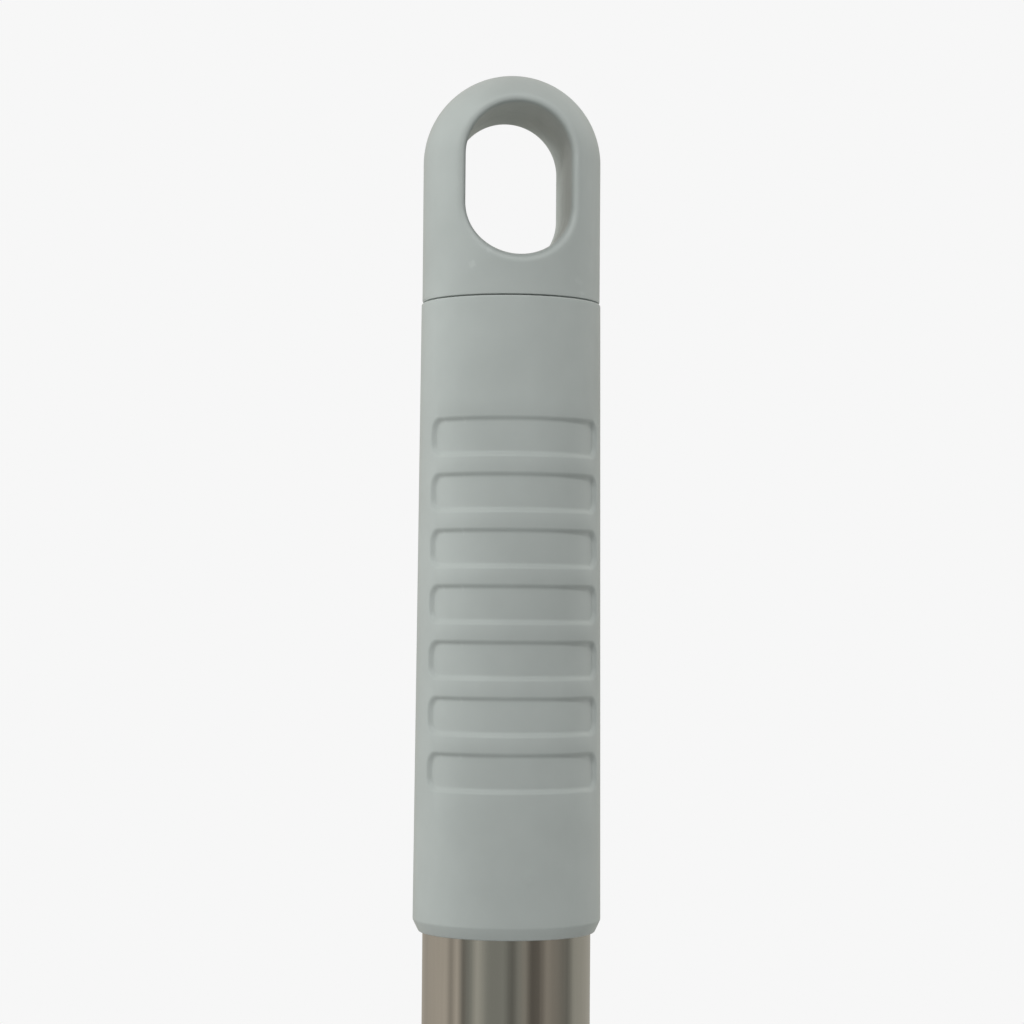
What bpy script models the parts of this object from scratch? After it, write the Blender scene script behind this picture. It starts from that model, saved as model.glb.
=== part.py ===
"""String mop: a steel handle with a moulded grip and a hanging eye, and a screw clamp that holds the yarn.

Metres, +Z up. The mop hangs from its eye. The origin is the highest point of the eye's hole, the handle runs
down -Z on the Z axis, the hole of the eye runs along Y, and the front of the mop faces -Y.
"""

import math

import bmesh
import bpy
import numpy as np

# Clearances
GAP = 0.0003  # between faces that touch
RUN = 0.0003  # round a pin, bolt or screw in its hole
PUSH_FIT = 0.00015  # between the grip sleeve and the tube it is pushed onto

# Handle
TUBE_D = 0.022
TUBE_WALL = 0.0006
HANDLE_L = 1.2  # top of the cap to the foot of the tube
PLUG_L = 0.028
PLUG_WALL = 0.002
PLUG_FLANGE = 0.0015

# Hanging cap
CAP_OVER_TUBE = 0.0007  # how far the cap's side stands out past the tube's
EYE_W = 0.0138
EYE_H = 0.020
EYE_WEB = 0.0048  # material over the eye
EYE_TO_SEAM = 0.0052
SPIGOT_L = 0.025
SPIGOT_WALL = 0.0025

# Grip sleeve
SLEEVE_TOP_WALL = 0.00065
SLEEVE_FOOT_WALL = 0.00115
SLEEVE_L = 0.0822
FOOT_CHAMFER = 0.0016
GROOVES = 7
GROOVE_PITCH = 0.00717
GROOVE_H = 0.0052
GROOVE_DEPTH = 0.0005
GROOVE_SLOPE = 0.0006  # height of a groove's upper and lower wall
GROOVE_START = 0.01545  # sleeve's top to the first groove
GROOVE_HALF_ANGLE = math.radians(65.6)

# Clamp: socket
SOCKET_WALL = 0.004
SOCKET_DEPTH = 0.060
SOCKET_FLOOR = 0.005
COLLAR_H = 0.007
COLLAR_PROUD = 0.0015
SCREW_D = 0.0035
SCREW_HEAD_D = 0.0072
SCREW_HEAD_H = 0.0022
SCREW_L = 0.007
SCREW_DROP = 0.020  # socket's mouth to the screw

# Clamp: plates, measured from the hinge's axis, which runs along X
PLATE_W = 0.150
PLATE_T = 0.005
PLATE_DROP = 0.065  # hinge axis to the lower edge of both plates
BACK_RISE = 0.007  # hinge axis to the upper edge of the back plate
JAW_TOP_DROP = 0.005  # hinge axis to the upper edge of the jaw
JAW_OPENING = 0.012  # between the plates when clamped
CORNER_R = 0.008
TOOTH_H = 0.0015
TOOTH_W = 0.003
TOOTH_UNDER_HINGE = 0.014
TEETH_OVER_FOOT = (0.009, 0.019)
RIB_H = 0.006  # stands past the socket's collar, so that the clamp can lie flat
JAW_RIB_H = 0.004
RIB_T = 0.003
SLOTS_FROM_WASHER = 0.004
SLOT_W = 0.005
SLOT_H = 0.022
GUSSET_RISE = 0.042
GUSSET_INSET = 0.017  # plate's end to the gusset's foot
GUSSET_T = 0.003

# Clamp: hinge
PIN_D = 0.004
PIN_HEAD_D = 0.0075
PIN_HEAD_T = 0.0015
PIN_END = 0.003  # how far the pin shows past its last lug
RETAINER_D = 0.008
RETAINER_T = 0.0016
KNUCKLE_R = 0.0045
JAW_KNUCKLE_W = 0.0188
LUG_W = 0.012
LUG_INSET = 0.0033  # plate's end to the outer lug
SOCKET_OVER_KNUCKLE = 0.0045

# Clamp: bolt and nut
BOLT_D = 0.008
BOLT_DROP = 0.030
BOLT_HEAD_D = 0.018
BOLT_HEAD_H = 0.0035
BOLT_END_SPARE = 0.0024  # thread that shows past the nut when it is fully backed off
NUT_TRAVEL = 0.012
JAW_SWING = math.radians(15)
WASHER_D = 0.022
WASHER_T = 0.002
NUT_H = 0.012
NUT_FOOT_D = 0.017
NUT_TOP_D = 0.0125
NUT_FLANGE_H = 0.002
WING_SPAN = 0.044
WING_T = 0.003
WING_LIFT = 0.0019  # washer to the lowest point of a wing
WING_RISE = 0.013  # height of a wing

# Mop head
BAND_INSET = 0.005  # plate's end to the band's end
BAND_SHOW = 0.0175  # band under the plates
BAND_T = 0.016  # where it shows
BAND_UNDER_HINGE = 0.0083
BUNDLES = 5  # in each of the two layers
YARN_L = 0.300
YARN_T = 0.0145  # one layer of yarn where it is fullest
YARN_FLARE = 0.20
YARN_STEP = 0.006  # how much shorter the next bundle out is

ROUND = 48  # sides of the round grip and tube
DOME_STEPS = 8
SMALL_ROUND = 24

# Sizes and places that follow from those above
CAP_R = TUBE_D / 2 + CAP_OVER_TUBE
SLEEVE_BORE_R = TUBE_D / 2 + PUSH_FIT
BAND_W = PLATE_W - 2 * BAND_INSET
JAW_KNUCKLE_X = PLATE_W / 2 - LUG_INSET - LUG_W - RUN - JAW_KNUCKLE_W / 2
SLOT_START_X = WASHER_D / 2 + SLOTS_FROM_WASHER
OUTER_RIB_X = PLATE_W / 2 - CORNER_R / 2 - RIB_T / 2 - 0.0005
RIB_X = (SLOT_START_X + OUTER_RIB_X) / 2
TOP_Z = EYE_WEB
SEAM_Z = -EYE_H - EYE_TO_SEAM
TUBE_TOP_Z = SEAM_Z - GAP
TUBE_FOOT_Z = TOP_Z - HANDLE_L
BORE_R = TUBE_D / 2 - TUBE_WALL
SOCKET_FLOOR_Z = TUBE_FOOT_Z - GAP - PLUG_FLANGE - GAP
SOCKET_FOOT_Z = SOCKET_FLOOR_Z - SOCKET_FLOOR
SOCKET_TOP_Z = TUBE_FOOT_Z + SOCKET_DEPTH
SOCKET_BORE_R = TUBE_D / 2 + GAP
SOCKET_R = SOCKET_BORE_R + SOCKET_WALL
SCREW_Z = SOCKET_TOP_Z - SCREW_DROP
HINGE_Z = SOCKET_FOOT_Z - KNUCKLE_R - SOCKET_OVER_KNUCKLE
INNER_Y = JAW_OPENING / 2
OUTER_Y = INNER_Y + PLATE_T
PLATE_FOOT_Z = HINGE_Z - PLATE_DROP
BOLT_Z = HINGE_Z - BOLT_DROP
WASHER_Y = -OUTER_Y - GAP
NUT_Y = WASHER_Y - WASHER_T - GAP
BOLT_END_Y = NUT_Y - NUT_H - NUT_TRAVEL - BOLT_END_SPARE
PIN_END_X = JAW_KNUCKLE_X + JAW_KNUCKLE_W / 2 + RUN + LUG_W
BAND_GRIP_T = JAW_OPENING - 2 * TOOTH_H - 2 * RUN
BAND_FOOT_Z = PLATE_FOOT_Z - BAND_SHOW
YARN_TOP_Z = BAND_FOOT_Z - GAP


# ---------------------------------------------------------------- shapes as (points, faces)
def loft(rings, closed=False):
    """Skin over rings of points, in order. One point is a pole; closed joins the last ring to the first."""
    points = np.concatenate([np.atleast_2d(r) for r in rings])
    starts = np.cumsum([0] + [len(np.atleast_2d(r)) for r in rings])
    pairs = list(zip(range(len(rings) - 1), range(1, len(rings))))
    if closed:
        pairs.append((len(rings) - 1, 0))
    faces = []
    for a, b in pairs:
        lower = range(starts[a], starts[a + 1])
        upper = range(starts[b], starts[b + 1])
        n = max(len(lower), len(upper))
        for i in range(n):
            j = (i + 1) % n
            side_a = [lower[i % len(lower)], lower[j % len(lower)]]
            side_b = [upper[j % len(upper)], upper[i % len(upper)]]
            faces.append(tuple(dict.fromkeys(side_a + side_b)))
    if not closed:
        for k in (0, len(rings) - 1):
            if starts[k + 1] - starts[k] > 2:
                faces.append(tuple(range(starts[k], starts[k + 1])))
    return points, faces


def turned(profile, sides, axis="Z", centre=(0, 0, 0), closed=False):
    """A profile of (radius, height) pairs turned about an axis through centre. Radius 0 is a pole."""
    angles = np.arange(sides) * 2 * math.pi / sides
    rings = []
    for radius, height in profile:
        if radius == 0:
            rings.append(np.array([[0, 0, height]]))
        else:
            level = np.full(sides, height)
            rings.append(np.column_stack([radius * np.cos(angles), radius * np.sin(angles), level]))
    points, faces = loft(rings, closed)
    order = {"X": [2, 0, 1], "Y": [1, 2, 0], "Z": [0, 1, 2]}[axis]
    return points[:, order] + np.array(centre), faces


def prism(outline, low, high, along="Y"):
    """An outline extruded from low to high. Its two coordinates are the other axes: XZ for Y, YZ for X."""
    flat = np.array(outline)
    rings = []
    for depth in (low, high):
        column = np.full(len(flat), depth)
        if along == "Y":
            rings.append(np.column_stack([flat[:, 0], column, flat[:, 1]]))
        else:
            rings.append(np.column_stack([column, flat[:, 0], flat[:, 1]]))
    return loft(rings)


def box(low, high):
    (x0, y0, z0), (x1, y1, z1) = low, high
    return prism([(x0, z0), (x1, z0), (x1, z1), (x0, z1)], y0, y1)


def rounded_outline(width, height, radius, centre=(0, 0), steps=4):
    """A rectangle with round corners. A radius of half the width makes an obround."""
    outline = []
    for quarter in range(4):
        cx = (width / 2 - radius) * (1 if quarter in (0, 3) else -1)
        cz = (height / 2 - radius) * (1 if quarter in (0, 1) else -1)
        for step in range(steps + 1):
            angle = math.pi / 2 * (quarter + step / steps)
            x = centre[0] + cx + radius * math.cos(angle)
            outline.append((x, centre[1] + cz + radius * math.sin(angle)))
    keep = [p for p, q in zip(outline, outline[1:] + outline[:1]) if math.dist(p, q) > 1e-6]
    return keep


def together(shapes):
    """Several shapes, clear of each other, as one."""
    points, faces, start = [], [], 0
    for shape_points, shape_faces in shapes:
        points.append(shape_points)
        faces += [tuple(start + i for i in face) for face in shape_faces]
        start += len(shape_points)
    return np.concatenate(points), faces


# ---------------------------------------------------------------- objects
def material(name, colour, roughness, metallic=0.0):
    made = bpy.data.materials.new(name)
    made.use_nodes = True
    shader = made.node_tree.nodes["Principled BSDF"]
    shader.inputs["Base Color"].default_value = (*colour, 1)
    shader.inputs["Roughness"].default_value = roughness
    shader.inputs["Metallic"].default_value = metallic
    return made


def solid(name, shape, finish, origin=(0, 0, 0)):
    """An object with its origin at a chosen point and its faces pointing out."""
    points, faces = shape
    mesh = bpy.data.meshes.new(name)
    mesh.from_pydata((points - np.array(origin)).tolist(), [], faces)
    work = bmesh.new()
    work.from_mesh(mesh)
    bmesh.ops.recalc_face_normals(work, faces=work.faces)
    work.to_mesh(mesh)
    work.free()
    mesh.shade_smooth()
    mesh.set_sharp_from_angle(angle=math.radians(30))
    made = bpy.data.objects.new(name, mesh)
    made.location = origin
    bpy.context.scene.collection.objects.link(made)
    mesh.materials.append(finish)
    return made


def tool(target, label, shape, operation):
    """Joins a hidden shape to the target, or cuts it away."""
    helper = solid(f"{target.name}_{label}", shape, target.data.materials[0])
    helper.hide_render = True
    helper.display_type = "WIRE"
    modifier = target.modifiers.new(label, "BOOLEAN")
    modifier.object = helper
    modifier.operation = operation


def join(target, label, shape):
    tool(target, label, shape, "UNION")


def cut(target, label, shape):
    tool(target, label, shape, "DIFFERENCE")


# ---------------------------------------------------------------- grip and handle
def round_ring(radius, height):
    """A level ring with the grip's number of sides. The radius may be an array, one for each side."""
    angles = np.arange(ROUND) * 2 * math.pi / ROUND
    return np.column_stack([radius * np.cos(angles), radius * np.sin(angles), np.full(ROUND, height)])


def hang_cap(finish):
    """A half ball on a short cylinder, with a hollow spigot for the tube and an oblong through eye."""
    dome = [(0, TOP_Z)]
    for angle in np.linspace(0, math.pi / 2, DOME_STEPS + 1)[1:]:
        dome.append((CAP_R * math.sin(angle), TOP_Z - CAP_R * (1 - math.cos(angle))))
    spigot_r = BORE_R - GAP
    spigot_foot = SEAM_Z - SPIGOT_L
    core_r = spigot_r - SPIGOT_WALL
    lower = [
        (CAP_R, SEAM_Z),
        (spigot_r, SEAM_Z),
        (spigot_r, spigot_foot + 0.002),
        (spigot_r - 0.0008, spigot_foot),
        (core_r, spigot_foot),
        (core_r, SEAM_Z - SPIGOT_WALL),
        (0, SEAM_Z - SPIGOT_WALL),
    ]
    cap = solid("hang_cap", turned(dome + lower, ROUND), finish)
    eye = rounded_outline(EYE_W, EYE_H, EYE_W / 2, (0, -EYE_H / 2), 8)
    cut(cap, "eye", prism(eye, -2 * CAP_R, 2 * CAP_R))


def grip_sleeve(finish):
    """A slightly tapered sleeve. Shallow grooves cross the front and the back, and stop short of the sides."""
    angles = np.arange(ROUND) * 2 * math.pi / ROUND
    from_middle = np.arccos(np.clip(np.abs(np.sin(angles)), 0, 1))
    grooved = np.clip((GROOVE_HALF_ANGLE - from_middle) * ROUND / (2 * math.pi) + 0.5, 0, 1)
    stations = [(0.0, 0.0)]
    for number in range(GROOVES):
        top = GROOVE_START + number * GROOVE_PITCH
        foot = top + GROOVE_H
        stations += [(top, 0), (top + GROOVE_SLOPE, 1), (foot - GROOVE_SLOPE, 1), (foot, 0)]
    stations += [(SLEEVE_L - FOOT_CHAMFER, 0)]
    rings = []
    for drop, sunk in stations:
        wall = SLEEVE_TOP_WALL + (SLEEVE_FOOT_WALL - SLEEVE_TOP_WALL) * drop / SLEEVE_L
        radii = SLEEVE_BORE_R + wall - GROOVE_DEPTH * sunk * grooved
        rings.append(round_ring(radii, TUBE_TOP_Z - drop))
    foot_r = SLEEVE_BORE_R + SLEEVE_FOOT_WALL / 3
    for radius, drop in [(foot_r, SLEEVE_L), (SLEEVE_BORE_R, SLEEVE_L), (SLEEVE_BORE_R, 0)]:
        rings.append(round_ring(radius, TUBE_TOP_Z - drop))
    solid("grip_sleeve", loft(rings, closed=True), finish)


def handle_tube(finish):
    outer = TUBE_D / 2
    profile = [(outer, TUBE_FOOT_Z), (outer, TUBE_TOP_Z), (BORE_R, TUBE_TOP_Z), (BORE_R, TUBE_FOOT_Z)]
    tube = solid("handle_tube", turned(profile, ROUND, closed=True), finish)
    cut(tube, "screw_hole", screw_hole())


def tube_plug(finish):
    """A cup pushed into the foot of the tube, with a flange that the tube stands on."""
    outer = BORE_R - GAP
    inner = outer - PLUG_WALL
    seat = TUBE_FOOT_Z - GAP
    profile = [
        (0, seat - PLUG_FLANGE),
        (TUBE_D / 2, seat - PLUG_FLANGE),
        (TUBE_D / 2, seat),
        (outer, seat),
        (outer, seat + PLUG_L - 0.002),
        (outer - 0.0006, seat + PLUG_L),
        (inner, seat + PLUG_L),
        (inner, seat + PLUG_WALL),
        (0, seat + PLUG_WALL),
    ]
    solid("tube_plug", turned(profile, ROUND), finish)


# ---------------------------------------------------------------- clamp
def screw_hole():
    """A hole through the front wall of the socket and of the tube."""
    radius = SCREW_D / 2 + RUN
    reach = [(radius, -SOCKET_R - 0.005), (radius, -BORE_R + 0.002)]
    return turned(reach, SMALL_ROUND, "Y", (0, 0, SCREW_Z))


def teeth(side):
    """Long triangular teeth on the inner face of a plate: side is 1 for the back plate and -1 for the jaw."""
    shapes = []
    for z in [HINGE_Z - TOOTH_UNDER_HINGE] + [PLATE_FOOT_Z + height for height in TEETH_OVER_FOOT]:
        face = side * (INNER_Y + 0.001)
        tip = side * (INNER_Y - TOOTH_H)
        wedge = [(face, z - TOOTH_W / 2), (face, z + TOOTH_W / 2), (tip, z + 0.0004), (tip, z - 0.0004)]
        shapes.append(prism(wedge, -BAND_W / 2, BAND_W / 2, "X"))
    return together(shapes)


def drain_slots(side):
    """Two upright slots in each bay: between the washer and the inner rib, and between the two ribs."""
    shapes = []
    bays = [(SLOT_START_X, RIB_X), (RIB_X, OUTER_RIB_X)]
    for x in [near + (far - near) * third / 3 for near, far in bays for third in (1, 2)]:
        for sign in (-1, 1):
            outline = rounded_outline(SLOT_W, SLOT_H, SLOT_W / 2, (sign * x, BOLT_Z))
            depths = sorted((side * (INNER_Y - 0.001), side * (OUTER_Y + 0.001)))
            shapes.append(prism(outline, *depths))
    return together(shapes)


def rails(side, top_z, height):
    """An upper and a lower stiffening rail on the outer face of a plate."""
    depths = sorted((side * (OUTER_Y - 0.001), side * (OUTER_Y + height)))
    half = PLATE_W / 2 - CORNER_R / 2
    shapes = []
    for z in (top_z - RIB_T, PLATE_FOOT_Z + RIB_T):
        shapes.append(box((-half, depths[0], z - RIB_T / 2), (half, depths[1], z + RIB_T / 2)))
    return together(shapes)


def ribs(side, top_z, height):
    """Upright stiffening ribs between the rails, a little lower than they are."""
    depths = sorted((side * (OUTER_Y - 0.001), side * (OUTER_Y + height - 0.0005)))
    shapes = []
    for x in (-OUTER_RIB_X, -RIB_X, RIB_X, OUTER_RIB_X):
        low = (x - RIB_T / 2, depths[0], PLATE_FOOT_Z + RIB_T)
        shapes.append(box(low, (x + RIB_T / 2, depths[1], top_z - RIB_T)))
    return together(shapes)


def knuckle(x_low, x_high, side, reach_z):
    """A round barrel on the hinge's axis with a web to its plate: an outline in the YZ plane."""
    outline = []
    for step in range(11):
        angle = math.pi / 2 - side * math.pi * step / 10 + (math.pi if side > 0 else 0)
        outline.append((KNUCKLE_R * math.cos(angle), HINGE_Z + KNUCKLE_R * math.sin(angle)))
    plate_y = side * (INNER_Y + PLATE_T / 2)
    first, last = outline[0], outline[-1]
    if first[1] < last[1]:
        outline += [(plate_y, last[1]), (plate_y, HINGE_Z - reach_z)]
    else:
        outline += [(plate_y, HINGE_Z - reach_z), (plate_y, first[1])]
    return prism(outline, x_low, x_high, "X")


def pin_bore():
    radius = PIN_D / 2 + RUN
    return turned([(radius, -PLATE_W), (radius, PLATE_W)], SMALL_ROUND, "X", (0, 0, HINGE_Z))


def clip_body(finish):
    """Socket, neck, gussets and back plate in one moulding."""
    top_z = HINGE_Z + BACK_RISE
    height = BACK_RISE + PLATE_DROP
    plate = rounded_outline(PLATE_W, height, CORNER_R, (0, top_z - height / 2))
    body = solid("clip_body", prism(plate, INNER_Y, OUTER_Y), finish)
    join(body, "rails", rails(1, HINGE_Z, RIB_H))
    join(body, "ribs", ribs(1, HINGE_Z, RIB_H))
    join(body, "teeth", teeth(1))
    neck_x = SOCKET_R * 0.72
    neck_low = (-neck_x, PIN_D / 2 + 0.002, HINGE_Z + 0.0015)
    join(body, "neck", box(neck_low, (neck_x, OUTER_Y + 0.002, SOCKET_FOOT_Z + SOCKET_FLOOR / 2)))
    gusset = [
        (GUSSET_INSET - PLATE_W / 2, top_z - 0.003),
        (PLATE_W / 2 - GUSSET_INSET, top_z - 0.003),
        (SOCKET_R * 0.9, top_z + GUSSET_RISE),
        (-SOCKET_R * 0.9, top_z + GUSSET_RISE),
    ]
    middle_y = INNER_Y + PLATE_T / 2
    join(body, "gusset", prism(gusset, middle_y - GUSSET_T / 2, middle_y + GUSSET_T / 2))
    collar_r = SOCKET_R + COLLAR_PROUD
    socket = [
        (SOCKET_R - 0.001, SOCKET_FOOT_Z),
        (SOCKET_R, SOCKET_FOOT_Z + 0.001),
        (SOCKET_R, SOCKET_TOP_Z - COLLAR_H),
        (collar_r, SOCKET_TOP_Z - COLLAR_H + COLLAR_PROUD),
        (collar_r, SOCKET_TOP_Z - 0.001),
        (collar_r - 0.001, SOCKET_TOP_Z),
    ]
    join(body, "socket", turned(socket, ROUND))
    bore = [(SOCKET_BORE_R, SOCKET_FLOOR_Z), (SOCKET_BORE_R, SOCKET_TOP_Z + 0.01)]
    cut(body, "bore", turned(bore, ROUND))
    for sign in (-1, 1):
        inner = JAW_KNUCKLE_X - JAW_KNUCKLE_W / 2 - RUN
        outer = JAW_KNUCKLE_X + JAW_KNUCKLE_W / 2 + RUN
        for side, (near, far) in {"inner": (inner - LUG_W, inner), "outer": (outer, outer + LUG_W)}.items():
            span = sorted((sign * near, sign * far))
            join(body, f"lug_{side}_{'left' if sign < 0 else 'right'}", knuckle(*span, 1, 0.006))
    cut(body, "pin_bore", pin_bore())
    cut(body, "screw_hole", screw_hole())
    cut(body, "drains", drain_slots(1))
    hole_w = BOLT_D + 2 * RUN
    square = rounded_outline(hole_w, hole_w, 0.0005, (0, BOLT_Z), 1)
    cut(body, "bolt_hole", prism(square, INNER_Y - 0.003, OUTER_Y + 0.003))


def jaw_plate(finish):
    """The front plate, which swings on the pin. Its slot lets it tilt round the bolt."""
    top_z = HINGE_Z - JAW_TOP_DROP
    height = PLATE_DROP - JAW_TOP_DROP
    plate = rounded_outline(PLATE_W, height, CORNER_R, (0, top_z - height / 2))
    jaw = solid("jaw_plate", prism(plate, -OUTER_Y, -INNER_Y), finish, (0, 0, HINGE_Z))
    join(jaw, "rails", rails(-1, top_z, JAW_RIB_H))
    join(jaw, "ribs", ribs(-1, top_z, JAW_RIB_H))
    join(jaw, "teeth", teeth(-1))
    for sign in (-1, 1):
        middle = sign * JAW_KNUCKLE_X
        barrel = knuckle(middle - JAW_KNUCKLE_W / 2, middle + JAW_KNUCKLE_W / 2, -1, JAW_TOP_DROP + 0.0025)
        join(jaw, f"knuckle_{'left' if sign < 0 else 'right'}", barrel)
    cut(jaw, "pin_bore", pin_bore())
    cut(jaw, "drains", drain_slots(-1))
    half = BOLT_D / 2 + 2 * RUN
    lowest = (BOLT_DROP + half) / math.cos(JAW_SWING) + OUTER_Y * math.tan(JAW_SWING)
    slot_foot = HINGE_Z - lowest - RUN
    slot_top = BOLT_Z + half
    slot = rounded_outline(2 * half, slot_top - slot_foot, half, (0, (slot_top + slot_foot) / 2))
    cut(jaw, "bolt_slot", prism(slot, -OUTER_Y - 0.001, -INNER_Y + 0.001))


def hinge_pin(finish):
    radius = PIN_D / 2
    head_x = PIN_END_X + GAP
    profile = [
        (0, -head_x - PIN_HEAD_T),
        (PIN_HEAD_D / 2 - 0.0005, -head_x - PIN_HEAD_T),
        (PIN_HEAD_D / 2, -head_x - PIN_HEAD_T + 0.0005),
        (PIN_HEAD_D / 2, -head_x),
        (radius, -head_x),
        (radius, PIN_END_X + PIN_END - 0.0005),
        (radius - 0.0005, PIN_END_X + PIN_END),
        (0, PIN_END_X + PIN_END),
    ]
    solid("hinge_pin", turned(profile, SMALL_ROUND, "X", (0, 0, HINGE_Z)), finish, (0, 0, HINGE_Z))


def pin_retainer(finish):
    """A push-on ring that keeps the pin in."""
    bore, rim = PIN_D / 2 + RUN, RETAINER_D / 2
    near = PIN_END_X + GAP
    profile = [(bore, near), (rim, near), (rim, near + RETAINER_T / 2), (bore + 0.0004, near + RETAINER_T)]
    ring = turned(profile, SMALL_ROUND, "X", (0, 0, HINGE_Z), closed=True)
    solid("pin_retainer", ring, finish, (0, 0, HINGE_Z))


def clamp_bolt(finish):
    """A carriage bolt: domed head behind the back plate, square neck in the plate, shank to the front."""
    under_head = OUTER_Y + GAP
    radius = BOLT_D / 2
    profile = [
        (0, under_head + BOLT_HEAD_H),
        (BOLT_HEAD_D * 0.25, under_head + BOLT_HEAD_H * 0.86),
        (BOLT_HEAD_D * 0.42, under_head + BOLT_HEAD_H * 0.45),
        (BOLT_HEAD_D / 2, under_head + 0.0004),
        (BOLT_HEAD_D / 2, under_head),
        (radius, under_head),
        (radius, BOLT_END_Y + 0.001),
        (radius - 0.001, BOLT_END_Y),
        (0, BOLT_END_Y),
    ]
    shape = turned(profile, SMALL_ROUND, "Y", (0, 0, BOLT_Z))
    bolt = solid("clamp_bolt", shape, finish)
    neck = rounded_outline(BOLT_D, BOLT_D, 0.0005, (0, BOLT_Z), 1)
    join(bolt, "square_neck", prism(neck, INNER_Y + GAP, under_head + 0.0002))


def clamp_washer(finish):
    bore, rim = BOLT_D / 2 + RUN, WASHER_D / 2
    edge = 0.0003
    profile = [
        (bore, WASHER_Y),
        (rim - edge, WASHER_Y),
        (rim, WASHER_Y - edge),
        (rim, WASHER_Y - WASHER_T + edge),
        (rim - edge, WASHER_Y - WASHER_T),
        (bore, WASHER_Y - WASHER_T),
    ]
    ring = turned(profile, SMALL_ROUND, "Y", (0, 0, BOLT_Z), closed=True)
    solid("clamp_washer", ring, finish, (0, WASHER_Y, BOLT_Z))


def wing_nut(finish):
    """A tapered hub with two raised wings."""
    top_y = NUT_Y - NUT_H
    profile = [
        (0, NUT_Y),
        (NUT_FOOT_D / 2, NUT_Y),
        (NUT_FOOT_D / 2, NUT_Y - NUT_FLANGE_H),
        (NUT_FOOT_D / 2 - 0.001, NUT_Y - NUT_FLANGE_H - 0.0005),
        (NUT_TOP_D / 2, top_y + 0.0005),
        (NUT_TOP_D / 2 - 0.0005, top_y),
        (0, top_y),
    ]
    nut = solid("wing_nut", turned(profile, SMALL_ROUND, "Y", (0, 0, BOLT_Z)), finish, (0, NUT_Y, BOLT_Z))
    foot_y = NUT_Y - WING_LIFT
    root_x = BOLT_D / 2 + 0.001
    reach = WING_SPAN / 2
    shape = [
        (root_x, 0.08),
        (reach * 0.60, 0.12),
        (reach * 0.86, 0.30),
        (reach * 0.97, 0.50),
        (reach, 0.72),
        (reach * 0.93, 0.93),
        (reach * 0.78, 1.0),
        (reach * 0.58, 0.92),
        (NUT_TOP_D / 2 + 0.0005, 0.66),
        (root_x, 0.62),
    ]
    for label, sign in (("left", -1), ("right", 1)):
        rings = []
        for z in (BOLT_Z - WING_T / 2, BOLT_Z + WING_T / 2):
            rings.append(np.array([(sign * x, foot_y - share * WING_RISE, z) for x, share in shape]))
        join(nut, f"wing_{label}", loft(rings))
    thread_r = BOLT_D / 2 + RUN
    bore = [(thread_r, NUT_Y + 0.002), (thread_r, top_y - 0.004)]
    cut(nut, "thread", turned(bore, SMALL_ROUND, "Y", (0, 0, BOLT_Z)))


def socket_screw(finish):
    """A pan-head screw through the front of the socket into the tube."""
    under_head = -SOCKET_R - GAP
    radius = SCREW_D / 2
    profile = [
        (0, under_head - SCREW_HEAD_H),
        (SCREW_HEAD_D * 0.35, under_head - SCREW_HEAD_H),
        (SCREW_HEAD_D / 2, under_head - SCREW_HEAD_H * 0.55),
        (SCREW_HEAD_D / 2, under_head),
        (radius, under_head),
        (radius, under_head + SCREW_L - 0.0015),
        (radius * 0.4, under_head + SCREW_L),
        (0, under_head + SCREW_L),
    ]
    solid("socket_screw", turned(profile, SMALL_ROUND, "Y", (0, 0, SCREW_Z)), finish)


# ---------------------------------------------------------------- mop head
def headband(finish):
    """The stitched tape round the folded top of the yarn: thin between the plates, thick below them."""
    thin, thick = BAND_GRIP_T / 2, BAND_T / 2
    half_outline = [
        (thin, HINGE_Z - BAND_UNDER_HINGE),
        (thin, PLATE_FOOT_Z - 0.001),
        (thick, PLATE_FOOT_Z - 0.005),
        (thick, BAND_FOOT_Z + 0.0015),
        (thick - 0.0015, BAND_FOOT_Z),
    ]
    outline = half_outline + [(-y, z) for y, z in reversed(half_outline)]
    band = solid("headband", prism(outline, -BAND_W / 2, BAND_W / 2, "X"), finish)
    hole = BOLT_D / 2 + RUN
    cut(band, "bolt_hole", turned([(hole, -BAND_T), (hole, BAND_T)], SMALL_ROUND, "Y", (0, 0, BOLT_Z)))


def yarn_bundle(name, side, number, finish):
    """One bundle of strands: a soft oblong section that swells below the band and thins to its end."""
    pitch = BAND_W / BUNDLES
    from_middle = number - (BUNDLES - 1) / 2
    length = YARN_L - YARN_STEP * abs(from_middle)
    angles = (np.arange(16) + 0.5) * 2 * math.pi / 16
    square_x = np.sign(np.cos(angles)) * np.abs(np.cos(angles)) ** 0.5
    square_y = np.sign(np.sin(angles)) * np.abs(np.sin(angles)) ** 0.5
    rings = []
    for share in (0, 0.06, 0.2, 0.45, 0.7, 0.9, 1.0):
        swell = math.sin(math.pi / 2 * min(1, share / 0.45))
        widen = 1 + YARN_FLARE * swell
        outer = BAND_T / 2 * (1 - swell) + YARN_T * swell * (1 - 0.25 * share**2)
        inner = GAP / 2
        tip = 0.7 if share == 1 else 1
        half_width = (pitch / 2 - GAP) * widen * tip
        half_depth = (outer - inner) / 2 * tip
        x = from_middle * pitch * widen + half_width * square_x
        y = side * (outer + inner) / 2 + half_depth * square_y
        rings.append(np.column_stack([x, y, np.full(16, YARN_TOP_Z - share * length)]))
    solid(name, loft(rings), finish)


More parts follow.
